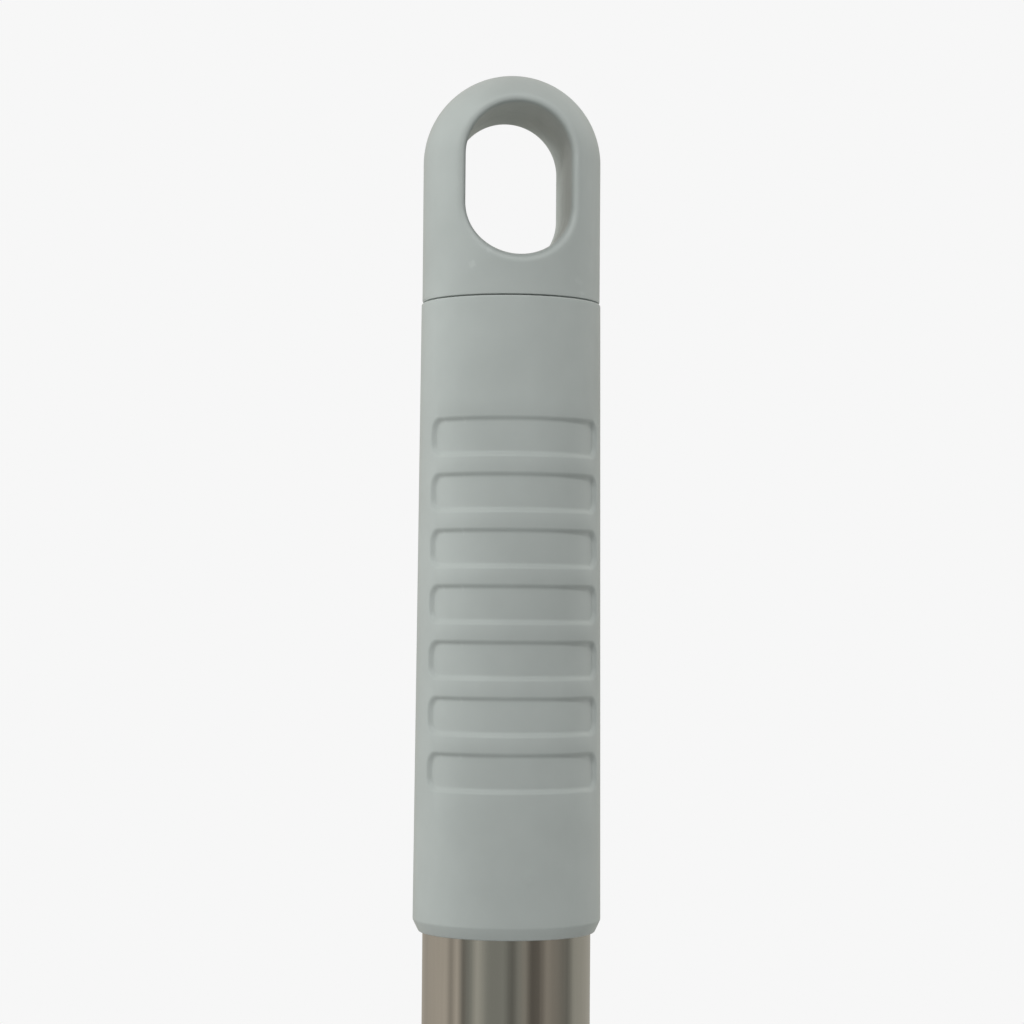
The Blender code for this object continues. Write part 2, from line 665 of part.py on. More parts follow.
def build():
    for old in list(bpy.data.objects):
        bpy.data.objects.remove(old, do_unlink=True)
    grip_plastic = material("grip_plastic", (0.40, 0.42, 0.40), 0.42)
    steel = material("stainless_steel", (0.60, 0.58, 0.55), 0.18, 1.0)
    zinc = material("zinc_plated_steel", (0.62, 0.62, 0.60), 0.32, 1.0)
    plug_plastic = material("plug_plastic", (0.10, 0.10, 0.10), 0.5)
    tape = material("woven_tape", (0.62, 0.61, 0.57), 0.85)
    cotton = material("cotton_yarn", (0.74, 0.71, 0.63), 0.95)
    hang_cap(grip_plastic)
    grip_sleeve(grip_plastic)
    handle_tube(steel)
    tube_plug(plug_plastic)
    clip_body(grip_plastic)
    socket_screw(zinc)
    jaw_plate(grip_plastic)
    hinge_pin(steel)
    pin_retainer(zinc)
    clamp_bolt(zinc)
    clamp_washer(zinc)
    wing_nut(zinc)
    headband(tape)
    for layer, side in (("front", -1), ("back", 1)):
        for number in range(BUNDLES):
            yarn_bundle(f"yarn_{layer}_{number + 1}", side, number, cotton)


build()
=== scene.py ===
# %% [markdown]
# # String mop: finishes, yarn and rounded mouldings
# The working model already fixes every size and every hinge. This script adds what the eye and the hand
# notice: soft radii on the moulded grip, drawn lines on the steel, a rolled thread, a stitched band and
# twisted yarn. Everything is in metres, the mop hangs from its eye along -Z, and its front faces -Y.

# %% Load the frame
import math

import bmesh
import bpy
import numpy as np
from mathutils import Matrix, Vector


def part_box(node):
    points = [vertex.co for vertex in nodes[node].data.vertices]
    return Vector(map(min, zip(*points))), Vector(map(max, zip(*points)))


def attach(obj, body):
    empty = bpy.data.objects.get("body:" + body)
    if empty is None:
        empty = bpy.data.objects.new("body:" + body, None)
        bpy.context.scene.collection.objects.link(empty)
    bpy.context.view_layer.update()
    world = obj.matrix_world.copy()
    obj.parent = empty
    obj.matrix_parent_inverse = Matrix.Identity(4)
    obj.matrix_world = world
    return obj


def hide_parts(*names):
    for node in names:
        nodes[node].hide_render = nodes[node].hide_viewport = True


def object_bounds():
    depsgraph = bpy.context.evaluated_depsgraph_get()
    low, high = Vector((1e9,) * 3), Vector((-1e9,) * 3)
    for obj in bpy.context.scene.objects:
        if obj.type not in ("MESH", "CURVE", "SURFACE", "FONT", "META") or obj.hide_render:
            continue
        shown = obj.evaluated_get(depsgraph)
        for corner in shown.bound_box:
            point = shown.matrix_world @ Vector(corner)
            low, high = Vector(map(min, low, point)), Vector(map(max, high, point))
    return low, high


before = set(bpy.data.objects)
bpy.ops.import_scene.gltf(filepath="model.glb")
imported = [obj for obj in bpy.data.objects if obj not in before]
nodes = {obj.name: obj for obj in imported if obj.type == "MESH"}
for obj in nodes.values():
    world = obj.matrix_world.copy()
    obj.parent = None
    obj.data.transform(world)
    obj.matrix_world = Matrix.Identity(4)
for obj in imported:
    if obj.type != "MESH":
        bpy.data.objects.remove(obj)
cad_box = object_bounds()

print("frame:", len(nodes), "nodes, box", [round(v, 4) for corner in cad_box for v in corner])

# %% [markdown]
# ## Sizes that everything below shares
# Most places come from the frame, so that a new piece lands on the old one. Radii, pitches and depths that
# a box can't tell are named here once, as a drawing would list them.

# %% Shared sizes
cap_low, cap_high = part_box("hang_cap")
sleeve_low, sleeve_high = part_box("grip_sleeve")
tube_low, tube_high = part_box("handle_tube")
band_low, band_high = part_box("headband")
pin_low, pin_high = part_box("hinge_pin")
bolt_low, bolt_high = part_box("clamp_bolt")
nut_low, nut_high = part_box("wing_nut")

CAP_R = cap_high.x
CAP_TOP_Z = cap_high.z
SEAM_GAP = 0.0001
SEAM_Z = sleeve_high.z + SEAM_GAP
EYE_HALF_W = 0.0069
EYE_H = 0.020
HINGE_Z = (pin_low.z + pin_high.z) / 2
BOLT_Z = (nut_low.z + nut_high.z) / 2
print("seam", round(SEAM_Z, 4), "hinge", round(HINGE_Z, 4), "bolt", round(BOLT_Z, 4))

# %% [markdown]
# ## Camera
# A long lens close to the grip keeps its sides almost parallel. It stands a little to the left, level with
# the sleeve's grooves, tips up by two degrees and leans by half a degree, as a camera held in the hand does.

# %% Camera
CAMERA_FROM_AXIS = 0.348
CAMERA_AZIMUTH = math.radians(-6.4)
CAMERA_Z = -0.0666
CAMERA_PITCH = math.radians(2.264)
CAMERA_LEAN = math.radians(0.43)
CAMERA_YAW = math.radians(-0.055)
LENS_MM = 92.9


def aim_camera():
    """Looks along f, with the image's right r = f x Z and up u = r x f turned about f by the lean."""
    camera = bpy.data.objects.new("camera", bpy.data.cameras.new("camera"))
    camera.data.lens = LENS_MM
    heading = CAMERA_AZIMUTH + CAMERA_YAW
    level = np.array([-math.sin(heading), math.cos(heading), 0])
    forward = level * math.cos(CAMERA_PITCH) + np.array([0, 0, math.sin(CAMERA_PITCH)])
    right = np.cross(forward, [0, 0, 1])
    right /= np.linalg.norm(right)
    up = np.cross(right, forward)
    lean_up = up * math.cos(CAMERA_LEAN) - right * math.sin(CAMERA_LEAN)
    lean_right = right * math.cos(CAMERA_LEAN) + up * math.sin(CAMERA_LEAN)
    matrix = np.eye(4)
    matrix[:3, 0], matrix[:3, 1], matrix[:3, 2] = lean_right, lean_up, -forward
    matrix[:3, 3] = [
        CAMERA_FROM_AXIS * math.sin(CAMERA_AZIMUTH),
        -CAMERA_FROM_AXIS * math.cos(CAMERA_AZIMUTH),
        CAMERA_Z,
    ]
    camera.matrix_world = matrix.T.tolist()
    bpy.context.scene.collection.objects.link(camera)
    bpy.context.scene.camera = camera
    return camera


camera = aim_camera()
print("camera at", [round(v, 3) for v in camera.matrix_world.translation])

# %% [markdown]
# ## Surfaces from grids
# A bent sheet of graph paper can be almost any moulded part. Each new piece is a grid of points worked out
# in one go, and one helper turns the grid into faces. Where a line of the grid shrinks to a point, or two
# lines meet, the doubled points are merged, so that the skin is closed.

# %% Grid helpers
def grid_faces(rows, columns, wrap_rows=False, wrap_columns=False):
    """Quads between neighbouring points, where point (i, j) has the number i * columns + j."""
    i = np.arange(rows if wrap_rows else rows - 1)[:, None]
    j = np.arange(columns if wrap_columns else columns - 1)[None, :]
    next_i, next_j = (i + 1) % rows, (j + 1) % columns
    corners = [i * columns + j, i * columns + next_j, next_i * columns + next_j, next_i * columns + j]
    return np.stack(np.broadcast_arrays(*corners), axis=-1).reshape(-1, 4)


def joined(parts):
    """Several (points, faces) as one: each part's face numbers move up by the points before it."""
    starts = np.cumsum([0] + [len(points) for points, _ in parts[:-1]])
    points = np.concatenate([points for points, _ in parts])
    faces = np.concatenate([faces + start for (_, faces), start in zip(parts, starts)])
    return points, faces


def skin(name, parts, attribute=None, sharp=40):
    """A mesh object from grids. attribute is (name, one vector for each point), for a pattern to follow."""
    points, faces = joined(parts)
    mesh = bpy.data.meshes.new(name)
    mesh.vertices.add(len(points))
    mesh.vertices.foreach_set("co", points.astype(np.float32).ravel())
    mesh.loops.add(faces.size)
    mesh.loops.foreach_set("vertex_index", faces.astype(np.int32).ravel())
    mesh.polygons.add(len(faces))
    mesh.polygons.foreach_set("loop_start", np.arange(0, faces.size, 4, dtype=np.int32))
    if attribute:
        layer = mesh.attributes.new(attribute[0], "FLOAT_VECTOR", "POINT")
        layer.data.foreach_set("vector", attribute[1].astype(np.float32).ravel())
    mesh.update(calc_edges=True)
    close_up(mesh)
    mesh.shade_smooth()
    mesh.set_sharp_from_angle(angle=math.radians(sharp))
    made = bpy.data.objects.new(name, mesh)
    bpy.context.scene.collection.objects.link(made)
    print(name, len(mesh.polygons), "faces")
    return made


def close_up(mesh):
    """Merges doubled points and turns each closed shell outwards."""
    work = bmesh.new()
    work.from_mesh(mesh)
    bmesh.ops.remove_doubles(work, verts=work.verts, dist=1e-7)
    bmesh.ops.dissolve_degenerate(work, edges=work.edges, dist=1e-8)
    bmesh.ops.recalc_face_normals(work, faces=work.faces)
    work.to_mesh(mesh)
    work.free()


def softened(corners, radius, steps=4):
    """A line of (across, along) corners with each inner corner swapped for a short curve.
    Each curve is (1-t)^2 a + 2t(1-t) b + t^2 c, from radius before the corner b to radius after it."""
    corners = np.array(corners, float)
    t = np.linspace(0, 1, steps + 1)[:, None]
    line = [corners[:1]]
    for before, corner, after in zip(corners[:-2], corners[1:-1], corners[2:]):
        back, ahead = before - corner, after - corner
        reach = min(radius, 0.45 * np.linalg.norm(back), 0.45 * np.linalg.norm(ahead))
        a = corner + back / np.linalg.norm(back) * reach
        c = corner + ahead / np.linalg.norm(ahead) * reach
        line.append((1 - t) ** 2 * a + 2 * t * (1 - t) * corner + t**2 * c)
    line.append(corners[-1:])
    return np.concatenate(line)


AXES = {"X": [2, 0, 1], "Y": [1, 2, 0], "Z": [0, 1, 2]}


def turned(profile, sides, axis="Z", centre=(0, 0, 0), closed=False):
    """A profile of (radius r, height h) turned about an axis: (r cos a, r sin a, h), then the axes change
    places so that h runs along the one asked for."""
    angle = np.arange(sides) * 2 * math.pi / sides
    radius, height = profile[:, :1], profile[:, 1:]
    grid = np.stack(np.broadcast_arrays(radius * np.cos(angle), radius * np.sin(angle), height), axis=-1)
    points = grid.reshape(-1, 3)[:, AXES[axis]] + np.array(centre)
    return points, grid_faces(len(profile), sides, wrap_rows=closed, wrap_columns=True)


# %% [markdown]
# ## Node helpers
# Every finish below is a small node tree that reads the object's own coordinates, in metres. A noise scale of
# 1000 therefore means patches about a millimetre across. Values that are the same all over a piece are typed
# into the shader's own sockets.

# %% Node helpers
def add(tree, kind, inputs=None, **settings):
    """A node with its settings, and its inputs as plain values or as links from other nodes' outputs."""
    made = tree.nodes.new(kind)
    for key, value in settings.items():
        setattr(made, key, value)
    for key, value in (inputs or {}).items():
        if isinstance(value, bpy.types.NodeSocket):
            tree.links.new(value, made.inputs[key])
        else:
            made.inputs[key].default_value = value
    return made


def new_finish(name, shader_values):
    """An empty material with a Principled shader. Returns the material, its tree and the shader."""
    made = bpy.data.materials.new(name)
    made.use_nodes = True
    tree = made.node_tree
    shader = tree.nodes["Principled BSDF"]
    for key, value in shader_values.items():
        shader.inputs[key].default_value = value
    return made, tree, shader


def own_place(tree, stretch=(1, 1, 1)):
    """The piece's own coordinates, squeezed by stretch so that a pattern is drawn out along one axis."""
    place = add(tree, "ShaderNodeTexCoord").outputs["Object"]
    return add(tree, "ShaderNodeMapping", {"Vector": place, "Scale": stretch}).outputs["Vector"]


def noise(tree, place, scale, detail, roughness):
    """Cloudy grey with patches about 1 / scale metres wide, and detail finer layers on top of them."""
    inputs = {"Vector": place, "Scale": scale, "Detail": detail, "Roughness": roughness}
    return add(tree, "ShaderNodeTexNoise", inputs).outputs["Fac"]


def ramp(tree, factor, low, high, low_value, high_value):
    """Maps factor from low..high to low_value..high_value, and holds it inside them."""
    values = {"Value": factor, "From Min": low, "From Max": high, "To Min": low_value, "To Max": high_value}
    return add(tree, "ShaderNodeMapRange", values).outputs["Result"]


def maths(tree, operation, a, b=0.0):
    """One sum on two values or links. An operation on one value leaves b out."""
    return add(tree, "ShaderNodeMath", {0: a, 1: b}, operation=operation).outputs["Value"]


def blend_colours(tree, factor, colour_a, colour_b):
    """colour_a (1 - factor) + colour_b factor, where each is a plain colour or a link."""
    made = add(tree, "ShaderNodeMix", {"Factor": factor}, data_type="RGBA")
    for key, value in ((6, colour_a), (7, colour_b)):
        if isinstance(value, bpy.types.NodeSocket):
            tree.links.new(value, made.inputs[key])
        else:
            made.inputs[key].default_value = (*value, 1)
    return made.outputs[2]


def bumps(tree, shader, layers):
    """Stacks bump nodes: each layer is (height, strength, distance in metres)."""
    normal = None
    for height, strength, distance in layers:
        inputs = {"Height": height, "Strength": strength, "Distance": distance}
        if normal is not None:
            inputs["Normal"] = normal
        normal = add(tree, "ShaderNodeBump", inputs).outputs["Normal"]
    tree.links.new(normal, shader.inputs["Normal"])


def dress(obj, material):
    """Puts one finish on every slot of a piece."""
    if not obj.data.materials:
        obj.data.materials.append(material)
    for place in range(len(obj.data.materials)):
        obj.data.materials[place] = material
    return obj


# %% [markdown]
# ## Cotton yarn
# Mop yarn is four soft plies laid round each other. A strand could be a plain tube with a striped bump, but
# the valleys between plies are deep enough to cast shade, so they are modelled. The pattern of fibres has
# to turn with the plies, so each point keeps its place in the straight, untwisted strand as an attribute,
# and the noise is drawn out along it.

# %% Cotton finish
COTTON = (0.82, 0.79, 0.71)
COTTON_SHADE = (0.62, 0.57, 0.47)


def cotton_finish():
    """Matt fibres drawn out along the plies, with lint and a few soiled patches."""
    material, tree, shader = new_finish(
        "cotton_yarn",
        {"Roughness": 0.9, "Sheen Weight": 0.35, "Sheen Roughness": 0.5, "Specular IOR Level": 0.2},
    )
    straight = add(tree, "ShaderNodeAttribute", attribute_name="straight").outputs["Vector"]
    along = add(tree, "ShaderNodeMapping", {"Vector": straight, "Scale": (1, 1, 0.09)}).outputs["Vector"]
    fibres = noise(tree, along, 5200, 4, 0.65)
    lint = noise(tree, straight, 900, 3, 0.6)
    soil = noise(tree, own_place(tree), 28, 3, 0.55)
    wool = blend_colours(tree, ramp(tree, fibres, 0.3, 0.7, 0, 1), COTTON_SHADE, COTTON)
    cleaned = blend_colours(tree, ramp(tree, soil, 0.45, 0.75, 0, 0.3), wool, (0.56, 0.52, 0.45))
    tree.links.new(cleaned, shader.inputs["Base Color"])
    bumps(tree, shader, [(fibres, 0.7, 0.0004), (lint, 0.4, 0.0006)])
    return material


cotton = cotton_finish()

# %% [markdown]
# ## The strands
# One hundred and twenty strands leave the foot of the band in two layers, front and back, each three strands
# deep. They are squeezed where the band is sewn and swell below it. The middle of a strand follows
# x = x0 * widen(t) + a sway, y from the sewn depth to the loose depth, and z straight down, with t from 0 to
# 1 along it. Forty of them, the outer ones, are pieces of their own with cut ends. Those further in
# hang among them in one piece for each bundle.

# %% Strand sizes
STRAND_R = 0.0023
PLIES = 4
PLY_CENTRE = 0.55
PLY_R = 0.45
TWIST_PITCH = 0.020
RING_STEP = 0.0021
CUT_RINGS = np.array([0.0012, 0.0006, 0.00015])
POINTS_ROUND = 16
BUNDLES = 5
COLUMNS = 4
DEPTHS = ((0.0011, 0.0024), (0.0032, 0.0068), (0.0052, 0.0112))
BAND_W = band_high.x - band_low.x
STRAND_PITCH = BAND_W / (BUNDLES * COLUMNS)
HIDDEN_TOP = 0.008
YARN_L = 0.300
YARN_STEP = 0.006
YARN_FLARE = 0.20
CUT_SHORT = 0.012
SWELL_BY = 0.45
SWAY = (0.0006, 0.0018)
BUNDLE_DRIFT = 0.0045
STRAND_DRIFT = 0.0014
SQUEEZED_L = 0.02
FRAY = 0.22
FRAY_FROM = 0.975
draw = np.random.default_rng(7)


def place_across(bundle, column, depth):
    """x at the band: columns a pitch apart about the middle, and a third of a pitch between depths."""
    from_middle = bundle * COLUMNS + column - (BUNDLES * COLUMNS - 1) / 2
    return from_middle * STRAND_PITCH + (depth - 1) * STRAND_PITCH / 3


def strand_path(side, bundle, column, depth):
    """Middle line of a strand: x = x0 (1 + 0.2 s) + t^1.5 (sway sin(2 pi (f t + p)) + drift) and
    y = y0 (1 - s) + y1 s + the same kind of sway, where s = sin(pi/2 min(1, t / 0.45)) is the swell and z
    falls evenly."""
    from_middle = bundle - (BUNDLES - 1) / 2
    length = YARN_L - YARN_STEP * abs(from_middle) + HIDDEN_TOP - draw.uniform(0.0, CUT_SHORT)
    t = np.linspace(0, 1, int(length / RING_STEP))
    swell = np.sin(math.pi / 2 * np.minimum(1, t / SWELL_BY))
    ease = t**1.5
    sway = draw.uniform(*SWAY) * ease
    x = place_across(bundle, column, depth) * (1 + YARN_FLARE * swell)
    x = x + sway * np.sin(2 * math.pi * (draw.uniform(1.2, 2.6) * t + draw.random()))
    drift = draw.uniform(-STRAND_DRIFT, STRAND_DRIFT)
    x = x + (drift + BUNDLE_DRIFT * math.sin(2.1 * bundle + 1.7 * depth + side)) * ease
    sewn, loose = DEPTHS[depth]
    y = sewn * (1 - swell) + loose * swell
    sway = draw.uniform(0.0002, 0.0007) * ease
    y = y + sway * np.sin(2 * math.pi * (draw.uniform(1, 2.4) * t + draw.random()))
    z = band_low.z + HIDDEN_TOP - length * t
    return np.column_stack([x, side * y, z])


def strand(path, held=0.72, loosened=0.28):
    """Four plies as one lobed ring, turned along the path: the lobe's outline is
    r = c cos b + sqrt(q^2 - c^2 sin^2 b), b being the angle to the nearest ply's middle. The held share of
    the radius shows where the strand starts, and the loosened share comes back further down."""
    last = path[-1] - path[-2]
    near_cut = path[-1] - CUT_RINGS[:, None] * last / np.linalg.norm(last)
    path = np.concatenate([path[:-1], near_cut, path[-1:]])
    run = np.concatenate([[0], np.cumsum(np.linalg.norm(np.diff(path, axis=0), axis=1))])
    share = run / run[-1]
    angle = np.arange(POINTS_ROUND) * 2 * math.pi / POINTS_ROUND
    off_ply = (angle * PLIES / (2 * math.pi) + 0.5) % 1 - 0.5
    beta = off_ply * 2 * math.pi / PLIES
    lobe = PLY_CENTRE * np.cos(beta) + np.sqrt(PLY_R**2 - (PLY_CENTRE * np.sin(beta)) ** 2)
    squeezed = held + loosened * np.clip((run - HIDDEN_TOP) / SQUEEZED_L, 0, 1)
    frayed = 1 + FRAY * np.clip((share - FRAY_FROM) / 0.02, 0, 1)
    ends = np.clip(np.minimum(run, run[-1] - run) / CUT_RINGS[0], 0, 1) ** 0.28
    radius = STRAND_R * squeezed * frayed * ends
    turn = angle[None, :] + 2 * math.pi * run[:, None] / TWIST_PITCH + draw.random() * 6
    reach = radius[:, None] * lobe[None, :]
    x = path[:, :1] + reach * np.cos(turn)
    y = path[:, 1:2] + reach * np.sin(turn)
    points = np.stack(np.broadcast_arrays(x, y, path[:, 2:]), axis=-1)
    along = run[:, None] + draw.random()
    straight = np.stack(np.broadcast_arrays(reach * np.cos(angle), reach * np.sin(angle), along), axis=-1)
    faces = grid_faces(*points.shape[:2], wrap_columns=True)
    return (points.reshape(-1, 3), faces), straight.reshape(-1, 3)


# %% Make the strands
OUTERMOST = len(DEPTHS) - 1


def hang_bundle(layer, side, bundle):
    """Twelve strands: four outer ones as pieces of their own, and the eight behind them as one piece."""
    inner, places = [], []
    for depth in range(len(DEPTHS)):
        for column in range(COLUMNS):
            path = strand_path(side, bundle, column, depth)
            shape, straight = strand(path)
            if depth != OUTERMOST:
                inner.append(shape)
                places.append(straight)
                continue
            name = f"strand_{layer}_{bundle + 1}_{column + 1}"
            made = skin(name, [shape], ("straight", straight), 180)
            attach(made, "mop_body")
            dress(made, cotton)
            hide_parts(f"yarn_{layer}_{bundle + 1}")
    rest = skin(f"strands_{layer}_{bundle + 1}", inner, ("straight", np.concatenate(places)), 180)
    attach(rest, "mop_body")
    dress(rest, cotton)
    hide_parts(f"yarn_{layer}_{bundle + 1}")


for layer, side in (("front", -1), ("back", 1)):
    for bundle in range(BUNDLES):
        hang_bundle(layer, side, bundle)

# %% [markdown]
# ## Grip plastic
# The grip is moulded polypropylene in a cool pale grey. Its skin is satin: never flat, with a fine spark
# texture from the mould, slightly cloudy colour and faint scuffs where hands and hooks rub. The cloudiness
# stays within a few levels, because a moulded colour runs all the way through.

# %% Grip finish
GRIP_GREY = (0.400, 0.432, 0.412)


def grip_finish(name, colour, wear):
    """Satin plastic: cloudy colour, spark texture, and edges rubbed paler by the share called wear."""
    material, tree, shader = new_finish(name, {"Specular IOR Level": 0.42})
    place = own_place(tree)
    cloud = noise(tree, place, 55, 4, 0.6)
    spark = noise(tree, place, 2600, 2, 0.5)
    rub = noise(tree, own_place(tree, (1, 1, 0.18)), 420, 5, 0.7)
    darker = tuple(0.93 * channel for channel in colour)
    lighter = tuple(1.05 * channel for channel in colour)
    tone = blend_colours(tree, ramp(tree, cloud, 0.3, 0.7, 0, 1), darker, lighter)
    edge = add(tree, "ShaderNodeNewGeometry").outputs["Pointiness"]
    worn = maths(tree, "MULTIPLY", ramp(tree, edge, 0.52, 0.6, 0, wear), ramp(tree, rub, 0.45, 0.6, 0.3, 1))
    pale = tuple(min(1, 1.25 * channel + 0.03) for channel in colour)
    tree.links.new(blend_colours(tree, worn, tone, pale), shader.inputs["Base Color"])
    tree.links.new(ramp(tree, rub, 0.35, 0.7, 0.34, 0.48), shader.inputs["Roughness"])
    bumps(tree, shader, [(cloud, 0.10, 0.0006), (spark, 0.10, 0.00006), (rub, 0.05, 0.00005)])
    return material


grip_plastic = grip_finish("grip_plastic", GRIP_GREY, 0.25)

# %% [markdown]
# ## Hanging cap
# The cap is a half ball on a short cylinder, with an oblong hole from front to back and a soft lip round the
# hole. Cutting the hole with a Boolean would leave a hard edge and long thin faces. Instead the whole skin is
# one ring of rays: each ray leaves the hole's wall, turns over the lip, runs across the front to the
# outline or to the seam, and comes back the same way behind.

# %% Cap sizes
DOME_Z = CAP_TOP_Z - CAP_R
EYE_MID_Z = -EYE_H / 2
EYE_ARC_Z = EYE_H / 2 - EYE_HALF_W
LIP_OUT = 0.0013
LIP_IN = 0.0019
SEAM_EDGE = 0.00022
FOOT_RAYS = 72
SIDE_RAYS = 168


def eye_edge(angle):
    """The obround as seen from its middle: x = a on the straights, and b|sin| + sqrt(a^2 - b^2 cos^2) on the
    arcs. Also the direction straight out of it."""
    across, up = np.cos(angle), np.sin(angle)
    side = EYE_HALF_W / np.maximum(np.abs(across), 1e-9)
    arc = EYE_ARC_Z * np.abs(up) + np.sqrt(EYE_HALF_W**2 - (EYE_ARC_Z * across) ** 2)
    reach = np.where(side * np.abs(up) <= EYE_ARC_Z, side, arc)
    edge = np.column_stack([reach * across, reach * up])
    nearest = np.column_stack([np.zeros_like(angle), np.clip(edge[:, 1], -EYE_ARC_Z, EYE_ARC_Z)])
    return edge, (edge - nearest) / EYE_HALF_W


def cap_outline(angle):
    """The cap's front outline from the same middle: seam line, straight sides and half circle."""
    across, up = np.cos(angle), np.sin(angle)
    to_dome = DOME_Z - EYE_MID_Z
    to_seam = EYE_MID_Z - SEAM_Z - SEAM_EDGE
    side = CAP_R / np.maximum(np.abs(across), 1e-9)
    foot = to_seam / np.maximum(-up, 1e-9)
    dome = to_dome * up + np.sqrt(CAP_R**2 - (to_dome * across) ** 2)
    reach = np.where(side * up > to_dome, dome, side)
    reach = np.where((up < 0) & (foot * np.abs(across) <= CAP_R + 1e-9), foot, reach)
    return np.column_stack([reach * across, reach * up])


def cap_depth(flat):
    """Half the cap's thickness at a place (x, z): sqrt(R^2 - x^2 - h^2), h being the height into the dome."""
    into_dome = np.maximum(0, flat[..., 1] + EYE_MID_Z - DOME_Z)
    return np.sqrt(np.maximum(CAP_R**2 - flat[..., 0] ** 2 - into_dome**2, 0))


def cap_rays():
    """Rows of points from the middle of the hole's wall, over the lip, to the outline or round the seam."""
    corner = math.atan2(-(EYE_MID_Z - SEAM_Z - SEAM_EDGE), CAP_R)
    foot = np.linspace(-math.pi - corner, corner, FOOT_RAYS)
    sides = np.linspace(corner, math.pi - corner, SIDE_RAYS + 2)[1:-1]
    angle = np.concatenate([foot, sides])
    on_foot = np.arange(len(angle)) < FOOT_RAYS
    edge, out = eye_edge(angle)
    outline = cap_outline(angle)
    wall = cap_depth(edge) - LIP_IN
    rows = [np.column_stack([edge, wall * share]) for share in np.linspace(0, 1, 7)[:-1]]
    for tilt in np.linspace(math.pi / 2, 0, 9):
        flat = edge + out * LIP_OUT * (1 - math.sin(tilt))
        rows.append(np.column_stack([flat, cap_depth(flat) - LIP_IN * (1 - math.cos(tilt))]))
    lip = edge + out * LIP_OUT
    for share in np.sin(math.pi / 2 * np.linspace(0, 1, 27)[1:]):
        flat = lip + (outline - lip) * share
        rows.append(np.column_stack([flat, cap_depth(flat)]))
    rows[-1][~on_foot, 2] = 0
    for share in (0.35, 1.0):
        turn = rows[-1 if share < 1 else -2].copy()
        shrink = (CAP_R - SEAM_EDGE * share**2) / CAP_R
        turn[on_foot] *= [shrink, 1, shrink]
        turn[on_foot, 1] = SEAM_Z - EYE_MID_Z + SEAM_EDGE * (1 - share) ** 2
        rows.append(turn)
    return np.array(rows), on_foot


# %% Make the cap
def hanging_cap():
    """The rays in front, then the same rays behind in reverse; the seam's flat face joins the two."""
    rows, on_foot = cap_rays()
    front = np.stack([rows[..., 0], -rows[..., 2], rows[..., 1] + EYE_MID_Z], axis=-1)
    back = front[::-1][:-1] * [1, -1, 1]
    grid = np.concatenate([front, back])
    count, around = grid.shape[:2]
    faces = grid_faces(count, around, wrap_rows=True, wrap_columns=True).reshape(count, around, 4)
    outline_row = len(front) - 3
    past_outline = np.zeros(count, bool)
    past_outline[outline_row : outline_row + 5] = True
    both_on_foot = on_foot & np.roll(on_foot, -1)
    keep = ~past_outline[:, None] | both_on_foot[None, :]
    return grid.reshape(-1, 3), faces[keep]


SPIGOT_R = 0.0101
SPIGOT_WALL = 0.0025
SPIGOT_LAP = 0.0005
SPIGOT_LEAD = (0.0008, 0.002)


def spigot():
    """The hollow plug under the cap that fills the end of the tube: a turned cup, open downwards."""
    top, ceiling, foot = SEAM_Z + SPIGOT_LAP, SEAM_Z - SPIGOT_WALL, cap_low.z
    core = SPIGOT_R - SPIGOT_WALL
    corners = [(0, top), (SPIGOT_R, top), (SPIGOT_R, foot + SPIGOT_LEAD[1])]
    corners += [(SPIGOT_R - SPIGOT_LEAD[0], foot), (core, foot), (core, ceiling), (0, ceiling)]
    return turned(softened(corners, 0.0003), 64)


cap = skin("cap", [hanging_cap(), spigot()], sharp=50)
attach(cap, "mop_body")
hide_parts("hang_cap")
dress(cap, grip_plastic)

# %% [markdown]
# ## Grip sleeve
# The sleeve is a thin tapered tube with seven shallow finger grooves on the front and seven behind. A
# groove is a rounded rectangle laid on the curved skin. Its depth comes from the signed distance to that
# rectangle: zero outside, full depth a wall's width inside, and a smooth step between. The rows of the grid
# are packed where the walls are and sparse where the skin is plain.

# %% Sleeve sizes
SLEEVE_TOP_Z = sleeve_high.z
SLEEVE_L = sleeve_high.z - sleeve_low.z
SLEEVE_BORE_R = 0.01115
SLEEVE_TOP_R = 0.0118
SLEEVE_FOOT_R = 0.0123
FOOT_CHAMFER = 0.0016
CHAMFER_FOOT_R = SLEEVE_BORE_R + (SLEEVE_FOOT_R - SLEEVE_BORE_R) / 3
GROOVES = 7
GROOVE_PITCH = 0.00717
GROOVE_H = 0.0052
GROOVE_START = 0.01545
GROOVE_DEPTH = 0.0005
GROOVE_WALL = 0.0006
GROOVE_CORNER = 0.0020
GROOVE_HALF_ANGLE = math.radians(65.6)
GATE_DROP = 0.0742
GATE_SIDE = 0.0016
PLAIN_ROWS = (0.002, 0.005, 0.009, 0.013, 0.068, 0.070)
SLEEVE_SIDES = 360


def groove_depth(turn, drop):
    """Depth of the nearest groove: s = clamp(-d / wall), depth * s^2 (3 - 2s), where d is the distance to the
    rounded rectangle |arc| < half length, |drop - middle| < half height."""
    from_middle = np.arccos(np.clip(np.abs(np.sin(turn)), 0, 1))
    arc = from_middle * SLEEVE_TOP_R
    first = GROOVE_START + GROOVE_H / 2
    number = np.clip(np.round((drop - first) / GROOVE_PITCH), 0, GROOVES - 1)
    off = np.abs(drop - first - number * GROOVE_PITCH)
    past_end = arc - GROOVE_HALF_ANGLE * SLEEVE_TOP_R + GROOVE_CORNER
    past_wall = off - GROOVE_H / 2 + GROOVE_CORNER
    outside = np.hypot(np.maximum(past_end, 0), np.maximum(past_wall, 0))
    distance = outside + np.minimum(np.maximum(past_end, past_wall), 0) - GROOVE_CORNER
    s = np.clip(-distance / GROOVE_WALL, 0, 1)
    return GROOVE_DEPTH * s * s * (3 - 2 * s)


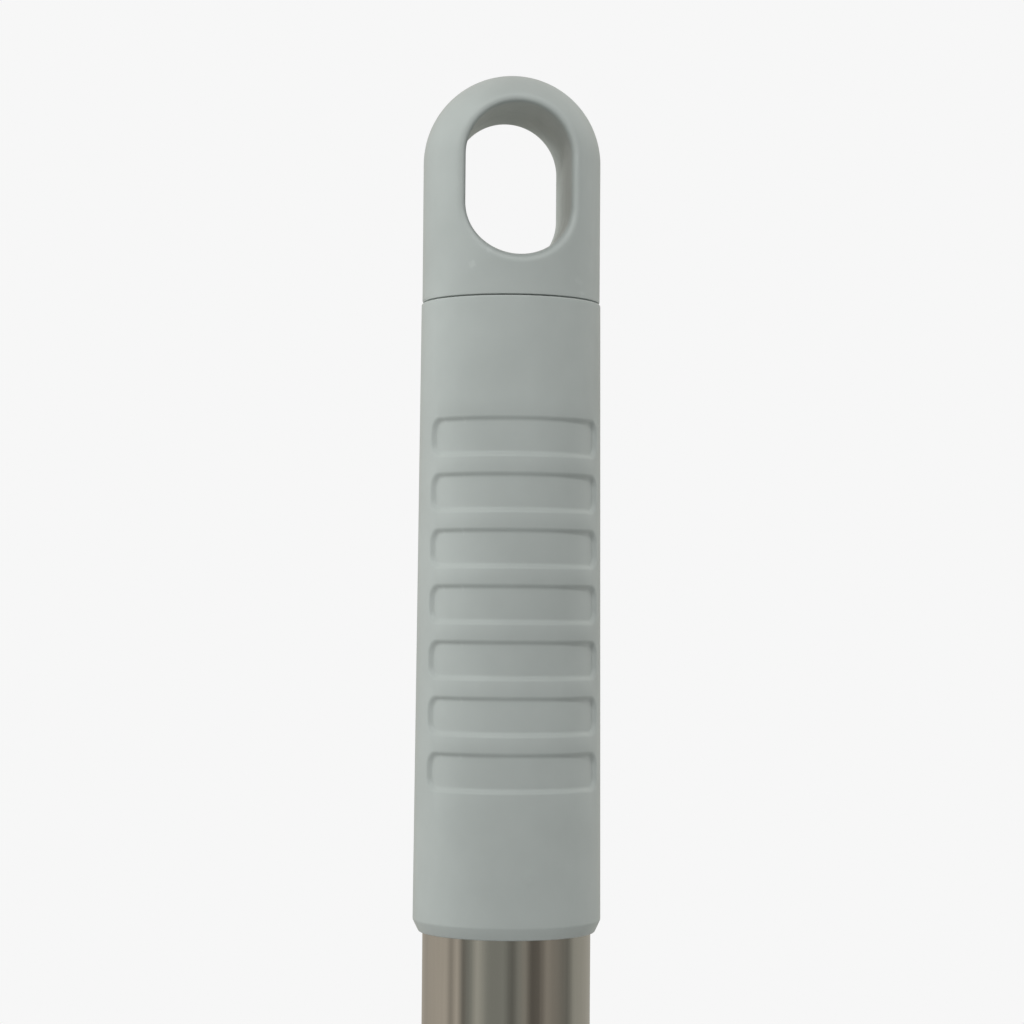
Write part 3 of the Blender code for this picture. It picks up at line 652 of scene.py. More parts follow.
def gate_mark(turn, drop):
    """The healed spot where the plastic entered the mould: a low bump exp(-(d / 0.8 mm)^2) with a dimple."""
    side = np.where(np.sin(turn) < 0, np.cos(turn) * SLEEVE_FOOT_R, 1.0)
    d = np.hypot(side - GATE_SIDE, drop - GATE_DROP)
    return 0.00011 * np.exp(-((d / 0.0008) ** 2)) - 0.00009 * np.exp(-((d / 0.0003) ** 2))


def parting_line(turn):
    """The fine ridge that the two halves of the mould leave down each side."""
    off = np.arccos(np.clip(np.abs(np.cos(turn)), 0, 1)) * SLEEVE_TOP_R
    return 0.00003 * np.exp(-((off / 0.0002) ** 2))


def sleeve_rows():
    """Drops below the sleeve's top, close together over the groove walls and the gate mark."""
    near_wall = np.linspace(-0.0001, GROOVE_CORNER, 10)
    rows = [PLAIN_ROWS, np.linspace(GATE_DROP - 0.0018, GATE_DROP + 0.0018, 15)]
    for number in range(GROOVES):
        top = GROOVE_START + number * GROOVE_PITCH
        rows += [top + near_wall, [top + GROOVE_H / 2], top + GROOVE_H - near_wall[::-1]]
    return np.sort(np.concatenate(rows))


def grip_sleeve():
    """Radius = taper - groove + marks on the outside, and a plain bore back up to the top."""
    turn = np.arange(SLEEVE_SIDES)[None, :] * 2 * math.pi / SLEEVE_SIDES
    taper = (SLEEVE_FOOT_R - SLEEVE_TOP_R) / SLEEVE_L
    rim = [(SLEEVE_BORE_R, 0), (SLEEVE_TOP_R, 0), (SLEEVE_TOP_R + taper * 0.001, 0.001)]
    chamfer_z = SLEEVE_L - FOOT_CHAMFER
    foot = [(SLEEVE_FOOT_R - taper * 0.003, chamfer_z - 0.0014), (SLEEVE_FOOT_R - taper * 0.0016, chamfer_z)]
    foot += [(CHAMFER_FOOT_R, SLEEVE_L), (SLEEVE_BORE_R, SLEEVE_L)]
    drops = sleeve_rows()
    middle = np.column_stack([SLEEVE_TOP_R + taper * drops, drops])
    outside = np.concatenate([softened(rim, 0.00025), middle, softened(foot, 0.00018)])
    bore = np.column_stack([np.full(12, SLEEVE_BORE_R), np.linspace(SLEEVE_L, 0, 14)[1:-1]])
    profile = np.concatenate([outside, bore])
    drop = profile[:, 1:]
    marks = gate_mark(turn, drop) + parting_line(turn) - groove_depth(turn, drop)
    on_outside = (np.arange(len(profile)) < len(outside))[:, None] & (profile[:, :1] > SLEEVE_TOP_R)
    radius = profile[:, :1] + np.where(on_outside, marks, 0)
    level = np.broadcast_to(SLEEVE_TOP_Z - drop, radius.shape)
    grid = np.stack([radius * np.cos(turn), radius * np.sin(turn), level], axis=-1)
    return grid.reshape(-1, 3), grid_faces(len(profile), SLEEVE_SIDES, True, True)


sleeve = skin("sleeve", [grip_sleeve()], sharp=40)
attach(sleeve, "mop_body")
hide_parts("grip_sleeve")
dress(sleeve, grip_plastic)

# %% [markdown]
# ## Stainless tube
# The handle is thin tube, rolled from strip, welded and polished lengthways. Polishing leaves hair lines
# along it, so the noise for roughness and bump is squeezed to a hundredth of its length down the tube. A
# faint seam of weld runs down the back.

# %% Steel finish
STEEL = (0.64, 0.62, 0.58)


def stainless_finish():
    """Polished steel with hair lines, a few smears, and a duller weld down the back."""
    material, tree, shader = new_finish("stainless_steel", {"Metallic": 1.0})
    lines = noise(tree, own_place(tree, (1, 1, 0.008)), 3200, 4, 0.7)
    streaks = noise(tree, own_place(tree, (1, 1, 0.03)), 420, 3, 0.6)
    smears = noise(tree, own_place(tree), 38, 4, 0.6)
    place = add(tree, "ShaderNodeSeparateXYZ", {0: own_place(tree)})
    beside = ramp(tree, maths(tree, "ABSOLUTE", place.outputs["X"]), 0.0002, 0.0006, 1, 0)
    weld = maths(tree, "MULTIPLY", beside, ramp(tree, place.outputs["Y"], 0.0, 0.001, 0, 1))
    tone = blend_colours(tree, ramp(tree, streaks, 0.35, 0.7, 0, 1), tuple(0.9 * c for c in STEEL), STEEL)
    welded = blend_colours(tree, maths(tree, "MULTIPLY", weld, 0.5), tone, (0.42, 0.40, 0.37))
    tree.links.new(welded, shader.inputs["Base Color"])
    smeared = ramp(tree, smears, 0.5, 0.75, 0, 0.06)
    rough = maths(tree, "ADD", ramp(tree, lines, 0.3, 0.7, 0.05, 0.11), smeared)
    tree.links.new(maths(tree, "ADD", rough, maths(tree, "MULTIPLY", weld, 0.2)), shader.inputs["Roughness"])
    bumps(tree, shader, [(lines, 0.12, 0.00003), (streaks, 0.05, 0.0001), (weld, 0.3, 0.00006)])
    return material


stainless = stainless_finish()

# %% Make the tube
TUBE_SIDES = 128
TUBE_WALL = 0.0006
tube_r = tube_high.x


def tube_wall():
    """A thin wall turned about Z, with broken edges and rings every 50 mm."""
    inner = tube_r - TUBE_WALL
    start = [(tube_r - TUBE_WALL / 2, tube_low.z)]
    outside = [(tube_r, z) for z in np.linspace(tube_low.z, tube_high.z, 25)]
    inside = [(inner, z) for z in np.linspace(tube_high.z, tube_low.z, 25)]
    profile = softened(start + outside + inside + start, 0.00012, 2)[:-1]
    return turned(profile, TUBE_SIDES, closed=True)


tube = skin("tube", [tube_wall()], sharp=50)
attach(tube, "mop_body")
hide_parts("handle_tube")
dress(tube, stainless)

# %% [markdown]
# ## Clamp mouldings
# The back plate with its socket and the swinging jaw are moulded in the same grey plastic. Their shapes come
# from the working model, which has sharp edges, and a real mould has none. A bevel would stumble over the
# hundreds of small edges where ribs meet teeth. Melting works better: the copy's loose triangles are merged,
# a voxel remesh turns it into a fine even skin, and smoothing rounds every edge by about the same radius.

# %% Round the mouldings
MOULD_VOXEL = 0.0007
MOULD_ROUNDS = 4


def fused(obj, voxel, rounds):
    """Remeshes overlapping shells into one skin, smooths it, and applies both."""
    remesh = obj.modifiers.new("fuse", "REMESH")
    remesh.mode = "VOXEL"
    remesh.voxel_size = voxel
    smooth = obj.modifiers.new("soften", "SMOOTH")
    smooth.factor = 0.5
    smooth.iterations = rounds
    graph = bpy.context.evaluated_depsgraph_get()
    mesh = bpy.data.meshes.new_from_object(obj.evaluated_get(graph))
    obj.modifiers.clear()
    obj.data = mesh
    mesh.shade_smooth()
    print(obj.name, "fused", len(mesh.polygons), "faces")
    return obj


def melted_copy(name, node, body):
    """A copy of a moulded node with its triangles merged and its edges melted round."""
    mesh = nodes[node].data.copy()
    work = bmesh.new()
    work.from_mesh(mesh)
    bmesh.ops.remove_doubles(work, verts=work.verts, dist=2e-6)
    work.to_mesh(mesh)
    work.free()
    made = bpy.data.objects.new(name, mesh)
    bpy.context.scene.collection.objects.link(made)
    fused(made, MOULD_VOXEL, MOULD_ROUNDS)
    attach(made, body)
    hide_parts(node)
    return dress(made, grip_plastic)


melted_copy("back_plate", "clip_body", "mop_body")
melted_copy("swing_jaw", "jaw_plate", "jaw_body")

# %% [markdown]
# ## Zinc-plated fittings
# Bolt, washer, wing nut, screw and retainer are plated steel or zinc. Bright zinc is a little blue and dulls
# in patches. Its inner corners get painted shade, near black: the pointiness of the mesh picks out those
# corners.

# %% Zinc finish
ZINC = (0.60, 0.61, 0.62)


def zinc_finish():
    """Plated metal in dull and bright patches, with painted shade darkening its inner corners."""
    material, tree, shader = new_finish("zinc_plated_steel", {"Metallic": 1.0})
    place = own_place(tree)
    patch = noise(tree, place, 260, 4, 0.65)
    grain = noise(tree, place, 3600, 3, 0.6)
    edge = add(tree, "ShaderNodeNewGeometry").outputs["Pointiness"]
    dull = blend_colours(tree, ramp(tree, patch, 0.35, 0.65, 0, 1), ZINC, (0.52, 0.52, 0.50))
    # painted shade: where the mesh is concave (low pointiness) the colour is blended towards near black
    corner = ramp(tree, edge, 0.40, 0.50, 0.6, 0)
    tree.links.new(blend_colours(tree, corner, dull, (0.22, 0.21, 0.19)), shader.inputs["Base Color"])
    tree.links.new(ramp(tree, patch, 0.3, 0.7, 0.26, 0.44), shader.inputs["Roughness"])
    bumps(tree, shader, [(patch, 0.08, 0.0003), (grain, 0.15, 0.00004)])
    return material


zinc = zinc_finish()

# %% [markdown]
# ## Bolt with a rolled thread
# The nut moves four millimetres a turn, so the thread is a coarse one. Its surface is a cylinder whose radius
# rises and falls once a pitch, and the rise runs round with the angle: r = core + height * crest(y / pitch -
# angle / 2 pi), with a rounded crest, because rolled threads have no sharp top.

# %% Bolt
BOLT_R = 0.004
THREAD_PITCH = 0.004
THREAD_H = 0.0009
THREAD_START_Y = -0.004
THREAD_SIDES = 48
UNDER_HEAD_Y = 0.0113
HEAD_H = bolt_high.y - UNDER_HEAD_Y
HEAD_R = 0.009


def bolt_shank():
    """Plain, then threaded, then a tapered end. The crest is 1.35 - |2.9 s| held to 0..1 and smoothed, with
    s in -0.5..0.5 across one pitch."""
    threaded = np.linspace(THREAD_START_Y, bolt_low.y, 150)
    y = np.concatenate([[UNDER_HEAD_Y + 0.0005, 0.004], threaded])[:, None]
    turn = np.arange(THREAD_SIDES)[None, :] * 2 * math.pi / THREAD_SIDES
    s = (-y / THREAD_PITCH - turn / (2 * math.pi)) % 1 - 0.5
    crest = np.clip(1.35 - np.abs(2.9 * s), 0, 1)
    crest = crest * crest * (3 - 2 * crest)
    cut_in = np.clip((THREAD_START_Y - y) / 0.003, 0, 1)
    taper = np.clip((y - bolt_low.y) / 0.0012, 0, 1)
    radius = (BOLT_R - THREAD_H * cut_in * (1 - crest)) * (0.80 + 0.20 * np.sqrt(taper))
    grid = np.stack(np.broadcast_arrays(radius * np.sin(turn), y, BOLT_Z + radius * np.cos(turn)), axis=-1)
    end_caps = [np.repeat([[[0, float(edge[0]), BOLT_Z]]], THREAD_SIDES, axis=1) for edge in (y[0], y[-1])]
    grid = np.concatenate([end_caps[0], grid, end_caps[1]])
    return grid.reshape(-1, 3), grid_faces(len(grid), THREAD_SIDES, wrap_columns=True)


def bolt_head():
    """A mushroom dome: an ellipse turned about the bolt's axis, with a rolled rim and a flat underside."""
    arc = np.linspace(0, math.pi / 2, 14)
    dome = np.column_stack([HEAD_R * np.sin(arc), UNDER_HEAD_Y + 0.0005 + (HEAD_H - 0.0005) * np.cos(arc)])
    under = np.array([[HEAD_R, UNDER_HEAD_Y + 0.0002], [HEAD_R - 0.0002, UNDER_HEAD_Y], [0, UNDER_HEAD_Y]])
    return turned(np.concatenate([dome, under]), 48, "Y", (0, 0, BOLT_Z))


def square_neck():
    """A rounded square (superellipse |x|^8 + |z|^8 = r^8) that keeps the bolt from turning in the plate."""
    turn = np.arange(48)[None, :] * 2 * math.pi / 48
    reach = BOLT_R * (np.abs(np.cos(turn)) ** 8 + np.abs(np.sin(turn)) ** 8) ** (-1 / 8)
    share = np.array([0, 1, 1, 0.94, 0])[:, None]
    y = np.array([UNDER_HEAD_Y, UNDER_HEAD_Y, 0.0065, 0.0063, 0.0063])[:, None]
    x, z = share * reach * np.cos(turn), BOLT_Z + share * reach * np.sin(turn)
    grid = np.stack(np.broadcast_arrays(x, y, z), axis=-1)
    return grid.reshape(-1, 3), grid_faces(len(grid), 48, wrap_columns=True)


bolt = skin("carriage_bolt", [bolt_shank(), bolt_head(), square_neck()], sharp=60)
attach(bolt, "mop_body")
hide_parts("clamp_bolt")
dress(bolt, zinc)

# %% [markdown]
# ## Wing nut
# A wing nut is cast in one pour, so its wings flow into the hub with a fillet. Hub and wings overlap as
# separate shells here: a turned hub, and two wings shaped like flat pillows. A voxel remesh then fuses them
# into one skin, and a few rounds of smoothing give the cast fillets.

# %% Wing nut
NUT_FOOT_Y = nut_high.y
NUT_TOP_Y = NUT_FOOT_Y - 0.012
NUT_BORE_R = 0.0043
WING_T = 0.0034
WING_VOXEL = 0.00034


def wing_outline(side):
    """A closed curve through nine given points, as x and y: a Catmull-Rom spline."""
    knots = np.array([
        (0.0052, -0.0030), (0.0120, -0.0034), (0.0180, -0.0056), (0.0213, -0.0090), (0.0214, -0.0124),
        (0.0190, -0.0146), (0.0155, -0.0142), (0.0105, -0.0112), (0.0052, -0.0098),
    ])
    t = np.linspace(0, 1, 6, endpoint=False)[None, :, None]
    a, b, c, d = (np.roll(knots, shift, axis=0)[:, None, :] for shift in (1, 0, -1, -2))
    curve = 0.5 * (2 * b + (c - a) * t + (2 * a - 5 * b + 4 * c - d) * t**2 + (3 * b - a - 3 * c + d) * t**3)
    curve = curve.reshape(-1, 2)
    return np.column_stack([side * curve[:, 0], NUT_FOOT_Y + curve[:, 1]])


def wing(side):
    """A pillow over the outline: rings shrink towards the middle by k, at height T / 2 * (1 - k^5)^(1/2)."""
    outline = wing_outline(side)
    middle = outline.mean(axis=0)
    k = np.sin(math.pi / 2 * np.linspace(0, 1, 9))
    k = np.concatenate([k, k[-2::-1]])[:, None, None]
    height = WING_T / 2 * np.sqrt(np.maximum(1 - k**5, 0))
    height[9:] *= -1
    flat = middle + (outline[None] - middle) * k
    z = BOLT_Z + np.broadcast_to(height[..., 0], flat.shape[:2])
    grid = np.stack([flat[..., 0], flat[..., 1], z], axis=-1)
    return grid.reshape(-1, 3), grid_faces(len(grid), len(outline), wrap_columns=True)


def hub():
    """A foot flange, a waist and a tapered barrel round a plain bore."""
    corners = [(NUT_BORE_R, NUT_FOOT_Y), (0.0085, NUT_FOOT_Y), (0.0085, NUT_FOOT_Y - 0.0022)]
    corners += [(0.0074, NUT_FOOT_Y - 0.0028), (0.0063, NUT_TOP_Y), (NUT_BORE_R, NUT_TOP_Y)]
    return turned(softened(corners, 0.0006), 64, "Y", (0, 0, BOLT_Z), closed=True)


wing_nut = fused(skin("wing_nut_cast", [hub(), wing(-1), wing(1)]), WING_VOXEL, 6)
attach(wing_nut, "nut_body")
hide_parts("wing_nut")
dress(wing_nut, zinc)

# %% [markdown]
# ## Washer, pin and retainer
# A flat washer lies under the wing nut. A headed pin runs across the mop, and a ring pushed over its far end
# keeps it in. All three are turned shapes with softened edges.

# %% Washer, pin and retainer
washer_low, washer_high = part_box("clamp_washer")
ring_low, ring_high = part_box("pin_retainer")
WASHER_BORE_R = 0.0043
RETAINER_BORE_R = 0.0023
RING_EDGE = 0.0005


def ring(bore, rim, near, far, axis, centre):
    """A flat ring with rounded edges: a softened rectangle turned about its axis."""
    start = [(bore, (near + far) / 2)]
    corners = start + [(bore, near), (rim, near), (rim, far), (bore, far)] + start
    return turned(softened(corners, RING_EDGE)[:-1], 64, axis, centre, closed=True)


washer_rim = (washer_high.x - washer_low.x) / 2
washer_shape = ring(WASHER_BORE_R, washer_rim, washer_high.y, washer_low.y, "Y", (0, 0, BOLT_Z))
washer = skin("washer", [washer_shape], sharp=60)
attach(washer, "washer_body")
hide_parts("clamp_washer")
dress(washer, zinc)

retainer_rim = (ring_high.z - ring_low.z) / 2
retainer_shape = ring(RETAINER_BORE_R, retainer_rim, ring_low.x, ring_high.x, "X", (0, 0, HINGE_Z))
retainer = skin("push_ring", [retainer_shape], sharp=60)
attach(retainer, "mop_body")
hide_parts("pin_retainer")
dress(retainer, zinc)

PIN_R = 0.002
PIN_HEAD_R = 0.00375
PIN_HEAD_T = 0.0015
pin_corners = [
    (0, pin_low.x), (PIN_HEAD_R, pin_low.x), (PIN_HEAD_R, pin_low.x + PIN_HEAD_T),
    (PIN_R, pin_low.x + PIN_HEAD_T), (PIN_R, pin_high.x), (0, pin_high.x),
]
pin = skin("pin", [turned(softened(pin_corners, 0.0006), 48, "X", (0, 0, HINGE_Z))], sharp=60)
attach(pin, "mop_body")
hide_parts("hinge_pin")
dress(pin, stainless)

# %% [markdown]
# ## Socket screw
# A pan-head screw holds the tube in its socket. The cross in its head is a depth map on a round grid: the
# head's dome, less a plus sign that is deep in the middle and fades at the ends of its arms.

# %% Screw
screw_low, screw_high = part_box("socket_screw")
SCREW_Z = (screw_low.z + screw_high.z) / 2
SCREW_HEAD_R = (screw_high.z - screw_low.z) / 2
SCREW_HEAD_H = 0.0022
SCREW_SHANK_R = 0.00175
CROSS_W = 0.0011
CROSS_L = 0.0042
CROSS_DEPTH = 0.0012


def screw_head():
    """Depth d = 0.75 head (1 - sqrt(1 - (r / R)^2.6)) for the pan, plus the cross where an arm is near."""
    radius = np.concatenate([np.linspace(0, 0.9, 28), 1 - 0.1 * np.cos(np.linspace(0, math.pi / 2, 7)[1:])])
    radius = radius[:, None] * SCREW_HEAD_R
    turn = np.arange(96)[None, :] * 2 * math.pi / 96
    x, z = radius * np.cos(turn), radius * np.sin(turn)
    pan = SCREW_HEAD_H * 0.75 * (1 - np.sqrt(np.maximum(1 - (radius / SCREW_HEAD_R) ** 2.6, 0)))

    def arm(along, across):
        """1 inside one bar of the cross, falling to 0 over its walls and towards its ends."""
        wide = np.clip((CROSS_W / 2 - np.abs(across)) / 0.00018 + 0.5, 0, 1)
        return wide * np.clip((CROSS_L / 2 - np.abs(along)) / 0.0009, 0, 1)

    cross = CROSS_DEPTH * np.maximum(arm(x, z), arm(z, x))
    y = screw_low.y + pan + cross
    face = np.stack([x, y, z + SCREW_Z], axis=-1)
    foot = screw_low.y + SCREW_HEAD_H
    rim = face[-1:] * [1, 0, 1] + [0, foot, 0]
    grid = np.concatenate([face, rim, np.broadcast_to([0, foot, SCREW_Z], rim.shape)])
    return grid.reshape(-1, 3), grid_faces(len(grid), 96, wrap_columns=True)


shank_start = screw_low.y + SCREW_HEAD_H - 0.0003
screw_corners = [(0, shank_start), (SCREW_SHANK_R, shank_start), (SCREW_SHANK_R, screw_high.y - 0.0015)]
screw_corners += [(0.0007, screw_high.y), (0, screw_high.y)]
screw_shank = turned(softened(screw_corners, 0.0003), 32, "Y", (0, 0, SCREW_Z))
screw = skin("cross_screw", [screw_head(), screw_shank], sharp=50)
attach(screw, "mop_body")
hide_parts("socket_screw")
dress(screw, zinc)

# %% [markdown]
# ## Tube plug
# The plug in the tube keeps the working model's shape, and takes a black plastic finish.

# %% Tube plug
plug_black = grip_finish("plug_plastic", (0.045, 0.046, 0.047), 0.1)
dress(nodes["tube_plug"], plug_black)

# %% [markdown]
# ## Headband
# The yarn is folded over and sewn through a strip of woven tape, folded like a book over the top of the yarn.
# The tape is a strip surface: its section runs up the front, over the top and down the back, and it is
# carried across the width. Rows of stitches pull it in, and the strands under it lift it in soft ridges.
# Where the bolt goes through, a slit in the cloth is spread into a round hole: a point beside the slit moves
# out by the circle's half width at its height, and its neighbours move less and less.

# %% Headband sizes
TAPE_T = 0.0009
BAND_THICK = band_high.y
BAND_THIN = 0.0042
PLATE_FOOT_Z = band_low.z + 0.0175
STITCH_ROWS = (0.0030, 0.0066, 0.0102)
STITCH_PITCH = 0.0044
STITCH_L = 0.0031
STITCH_R = 0.00042
BOLT_HOLE_R = 0.0046
SLIT_FADE = 0.008
TAPE_BEND = 0.0036
HALF_COLUMNS = 66


def tape_section():
    """Middle line of the tape as (y, z) at even steps along its length, and that length so far."""
    front = [(-BAND_THICK, band_low.z), (-BAND_THICK, PLATE_FOOT_Z - 0.005)]
    front += [(-BAND_THIN, PLATE_FOOT_Z - 0.001), (-BAND_THIN, band_high.z)]
    back = [(-y, z) for y, z in reversed(front)]
    line = softened(front + back, TAPE_BEND, 8)
    run = np.concatenate([[0], np.cumsum(np.linalg.norm(np.diff(line, axis=0), axis=1))])
    even = np.linspace(0, run[-1], 210)
    return np.column_stack([np.interp(even, run, line[:, 0]), np.interp(even, run, line[:, 1])]), even


def pulled_in(x, z):
    """How far the stitch rows and the gaps between strands draw the tape in below the plates."""
    rows = sum(np.exp(-(((z - band_low.z - row) / 0.0011) ** 2)) for row in STITCH_ROWS)
    ridge = 0.5 - 0.5 * np.cos(2 * math.pi * x / STRAND_PITCH)
    below = np.clip((PLATE_FOOT_Z - 0.004 - z) / 0.003, 0, 1)
    return below * (0.00045 * rows + 0.00050 * ridge * (1 - 0.6 * np.clip(rows, 0, 1)))


def parted(x, z, radius):
    """How far the bolt pushes cloth or yarn aside: sqrt(r^2 - (z - bolt)^2) exp(-|x| / 8 mm)."""
    return np.sqrt(np.maximum(radius**2 - (z - BOLT_Z) ** 2, 0)) * np.exp(-np.abs(x) / SLIT_FADE)


def sagged(x, z):
    """The free edge's slow wave up and down, which fades out towards the plates."""
    return 0.0004 * np.sin(x * 95 + 0.6) * np.clip((PLATE_FOOT_Z - 0.006 - z) / 0.01, 0, 1)


def tape():
    """The section carried across x, with a doubled column at x = 0 that the bolt's hole parts."""
    section, run = tape_section()
    half = np.linspace(0, BAND_W / 2, HALF_COLUMNS)
    x = np.concatenate([-half[::-1], half])[None, :]
    side = np.where(np.arange(2 * HALF_COLUMNS) < HALF_COLUMNS, -1, 1)[None, :]
    y, z = section[:, :1], section[:, 1:]
    inward = np.sign(y) * pulled_in(x, z)
    across = x + side * parted(x, z, BOLT_HOLE_R)
    grid = np.stack(np.broadcast_arrays(across, y - inward, z + sagged(x, z)), axis=-1)
    faces = grid_faces(*grid.shape[:2])
    across_slit = faces[:, 0] % (2 * HALF_COLUMNS) == HALF_COLUMNS - 1
    woven = np.stack(np.broadcast_arrays(x, run[:, None], 0 * x), axis=-1)
    return (grid.reshape(-1, 3), faces[~across_slit]), woven.reshape(-1, 3)


# %% Tape finish
TAPE = (0.66, 0.65, 0.60)


def tape_finish():
    """Plain weave: two waves, along and across the tape's own length, with fuzz and soiled patches."""
    material, tree, shader = new_finish(
        "woven_tape",
        {"Roughness": 0.85, "Sheen Weight": 0.2, "Sheen Roughness": 0.5, "Specular IOR Level": 0.25},
    )
    cloth = add(tree, "ShaderNodeAttribute", attribute_name="woven").outputs["Vector"]
    threads = []
    for direction, scale in (("X", 330), ("Y", 420)):
        inputs = {"Vector": cloth, "Scale": scale, "Distortion": 0.6, "Detail": 1.0, "Detail Scale": 0.6}
        wave = add(tree, "ShaderNodeTexWave", inputs, bands_direction=direction)
        threads.append(wave.outputs["Fac"])
    weave = maths(tree, "MULTIPLY", threads[0], threads[1])
    fuzz = noise(tree, cloth, 2400, 3, 0.6)
    soil = noise(tree, own_place(tree), 45, 3, 0.6)
    tone = blend_colours(tree, ramp(tree, weave, 0, 0.8, 0, 1), tuple(0.72 * c for c in TAPE), TAPE)
    soiled = blend_colours(tree, ramp(tree, soil, 0.45, 0.75, 0, 0.35), tone, (0.46, 0.44, 0.39))
    tree.links.new(soiled, shader.inputs["Base Color"])
    bumps(tree, shader, [(weave, 0.6, 0.0003), (fuzz, 0.3, 0.0001)])
    return material


woven_tape = tape_finish()

# %% Make the headband
def faces_outwards(mesh):
    """True if more of an open sheet faces away from the plane y = 0 than towards it: sum of n_y y area."""
    normal, centre = np.empty((2, 3 * len(mesh.polygons)), np.float32)
    area = np.empty(len(mesh.polygons), np.float32)
    mesh.polygons.foreach_get("normal", normal)
    mesh.polygons.foreach_get("center", centre)
    mesh.polygons.foreach_get("area", area)
    return (normal[1::3] * centre[1::3] * area).sum() > 0


tape_shape, woven_places = tape()
band = skin("tape_band", [tape_shape], ("woven", woven_places), 80)
if not faces_outwards(band.data):
    band.data.flip_normals()
wall = band.modifiers.new("tape thickness", "SOLIDIFY")
wall.thickness = TAPE_T
wall.offset = -1
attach(band, "mop_body")
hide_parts("headband")
dress(band, woven_tape)


def stitches():
    """One thread loop, a capsule bent inwards at both ends, set at each stitch of each row on both faces."""
    along = np.linspace(-1, 1, 9)
    around = np.arange(6) * math.pi / 3
    thick = STITCH_R * np.sqrt(np.maximum(1 - along**6, 0))[:, None]
    x = np.broadcast_to((along * STITCH_L / 2)[:, None], (9, 6))
    y = thick * np.cos(around) - 0.0007 * (along**4)[:, None]
    z = thick * np.sin(around)
    loop = np.stack([x, y, z], axis=-1).reshape(-1, 3)
    count = int((BAND_W - 0.006) / STITCH_PITCH)
    places = (np.arange(count) - (count - 1) / 2) * STITCH_PITCH
    sides, rows, across = np.meshgrid([-1, 1], STITCH_ROWS, places, indexing="ij")
    side, row_z, across = sides.ravel(), band_low.z + rows.ravel(), across.ravel()
    lift = BAND_THICK - pulled_in(across, row_z) + 0.0002
    centre = np.column_stack([across, side * lift, row_z + sagged(across, row_z)])
    flip = np.column_stack([np.ones(len(side)), side, np.ones(len(side))])
    points = (loop[None] * flip[:, None, :] + centre[:, None, :]).reshape(-1, 3)
    faces = grid_faces(9, 6, wrap_columns=True)
    starts = np.arange(len(side))[:, None, None] * len(loop)
    return points, (faces[None] + starts).reshape(-1, 4)


seams = skin("band_stitches", [stitches()], sharp=180)
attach(seams, "mop_body")
dress(seams, cotton)
band_run = float(tape_section()[1][-1])
print("tape", round(BAND_W, 3), "by", round(band_run, 3))

# %% [markdown]
# ## Yarn inside the headband
# The ends of the band are open, so the yarn shows there, pressed flat between the two layers of tape. Each
# strand goes on upwards at half its width. It starts where the loose strand was sewn, closes in to the gap
# between the plates, and is parted round the bolt just as the tape is.

# %% Fill the headband
INSIDE_Y = (0.0007, 0.0014, 0.0021)
INSIDE_SHARE = 0.5
FOLD_ROOM = 0.0026
YARN_ROUND_BOLT_R = BOLT_HOLE_R + 0.0012


def inside_path(side, bundle, column, depth):
    """Down between the two layers of tape, round the bolt by the circle's half width, and out to the strand
    as the square of the way past the plates' lower edge."""
    x = place_across(bundle, column, depth)
    z = np.linspace(band_high.z - FOLD_ROOM, band_low.z + HIDDEN_TOP - 0.001, 30)
    spread = np.clip((PLATE_FOOT_Z - z) / (PLATE_FOOT_Z - z[-1]), 0, 1) ** 2
    y = INSIDE_Y[depth] * (1 - spread) + DEPTHS[depth][0] * spread
    return np.column_stack([x + math.copysign(1, x) * parted(x, z, YARN_ROUND_BOLT_R), side * y, z])


folded = [
    strand(inside_path(side, bundle, column, depth), held=INSIDE_SHARE, loosened=0)
    for side in (-1, 1)
    for bundle in range(BUNDLES)
    for column in range(COLUMNS)
    for depth in range(len(DEPTHS))
]
shapes, places = zip(*folded)
inside = skin("yarn_in_band", shapes, ("straight", np.concatenate(places)), 180)
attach(inside, "mop_body")
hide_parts("headband")
dress(inside, cotton)

# %% [markdown]
# ## Light and floor
# Plain soft studio light: broad windows to the left, to the right and behind, and a small lamp in front of
# each end of the mop. Polished steel shows whatever stands round it, so the reflections see a room of upright
# bands, dark and pale, with a bright window high in front that draws the lip of each groove. The camera
# itself sees a plain pale wall.

# %% World
# Each band is (degrees round from the front, grey, warmth), and each height (place from -Z to +Z, grey).
PALE = (0.93, 0.93, 0.93)
ROOM_BANDS = [
    (-146, 0.43, 1), (-112, 0.50, 1), (-96, 0.52, 1), (-87, 0.33, 1), (-77, 0.54, 1), (-67, 0.19, 0.6),
    (-57, 0.26, 0), (-46, 0.44, 0.3), (-32, 0.27, 0), (-10, 0.26, 0), (2, 0.15, 0.2), (11, 0.26, 0.2),
    (19, 0.31, 0.7), (28, 0.13, 1), (38, 0.15, 1), (52, 0.32, 1), (68, 0.25, 0.8), (86, 0.18, 0.3),
    (100, 0.36, 0.3), (135, 0.40, 0.5),
]
SKY_GLINT = 2.3
FILL_BY_HEIGHT = [(0.05, 0.13), (0.40, 0.50), (0.55, 0.94), (0.70, 0.40), (0.94, 0.10)]
FILL_BEHIND = 0.72


def set_stops(node, colours):
    """Fills a colour ramp with (place, colour) stops, in order."""
    stops = node.color_ramp.elements
    stops.remove(stops[0])
    for number, (place, colour) in enumerate(colours):
        stop = stops[0] if number == 0 else stops.new(place)
        stop.position = place
        stop.color = colour


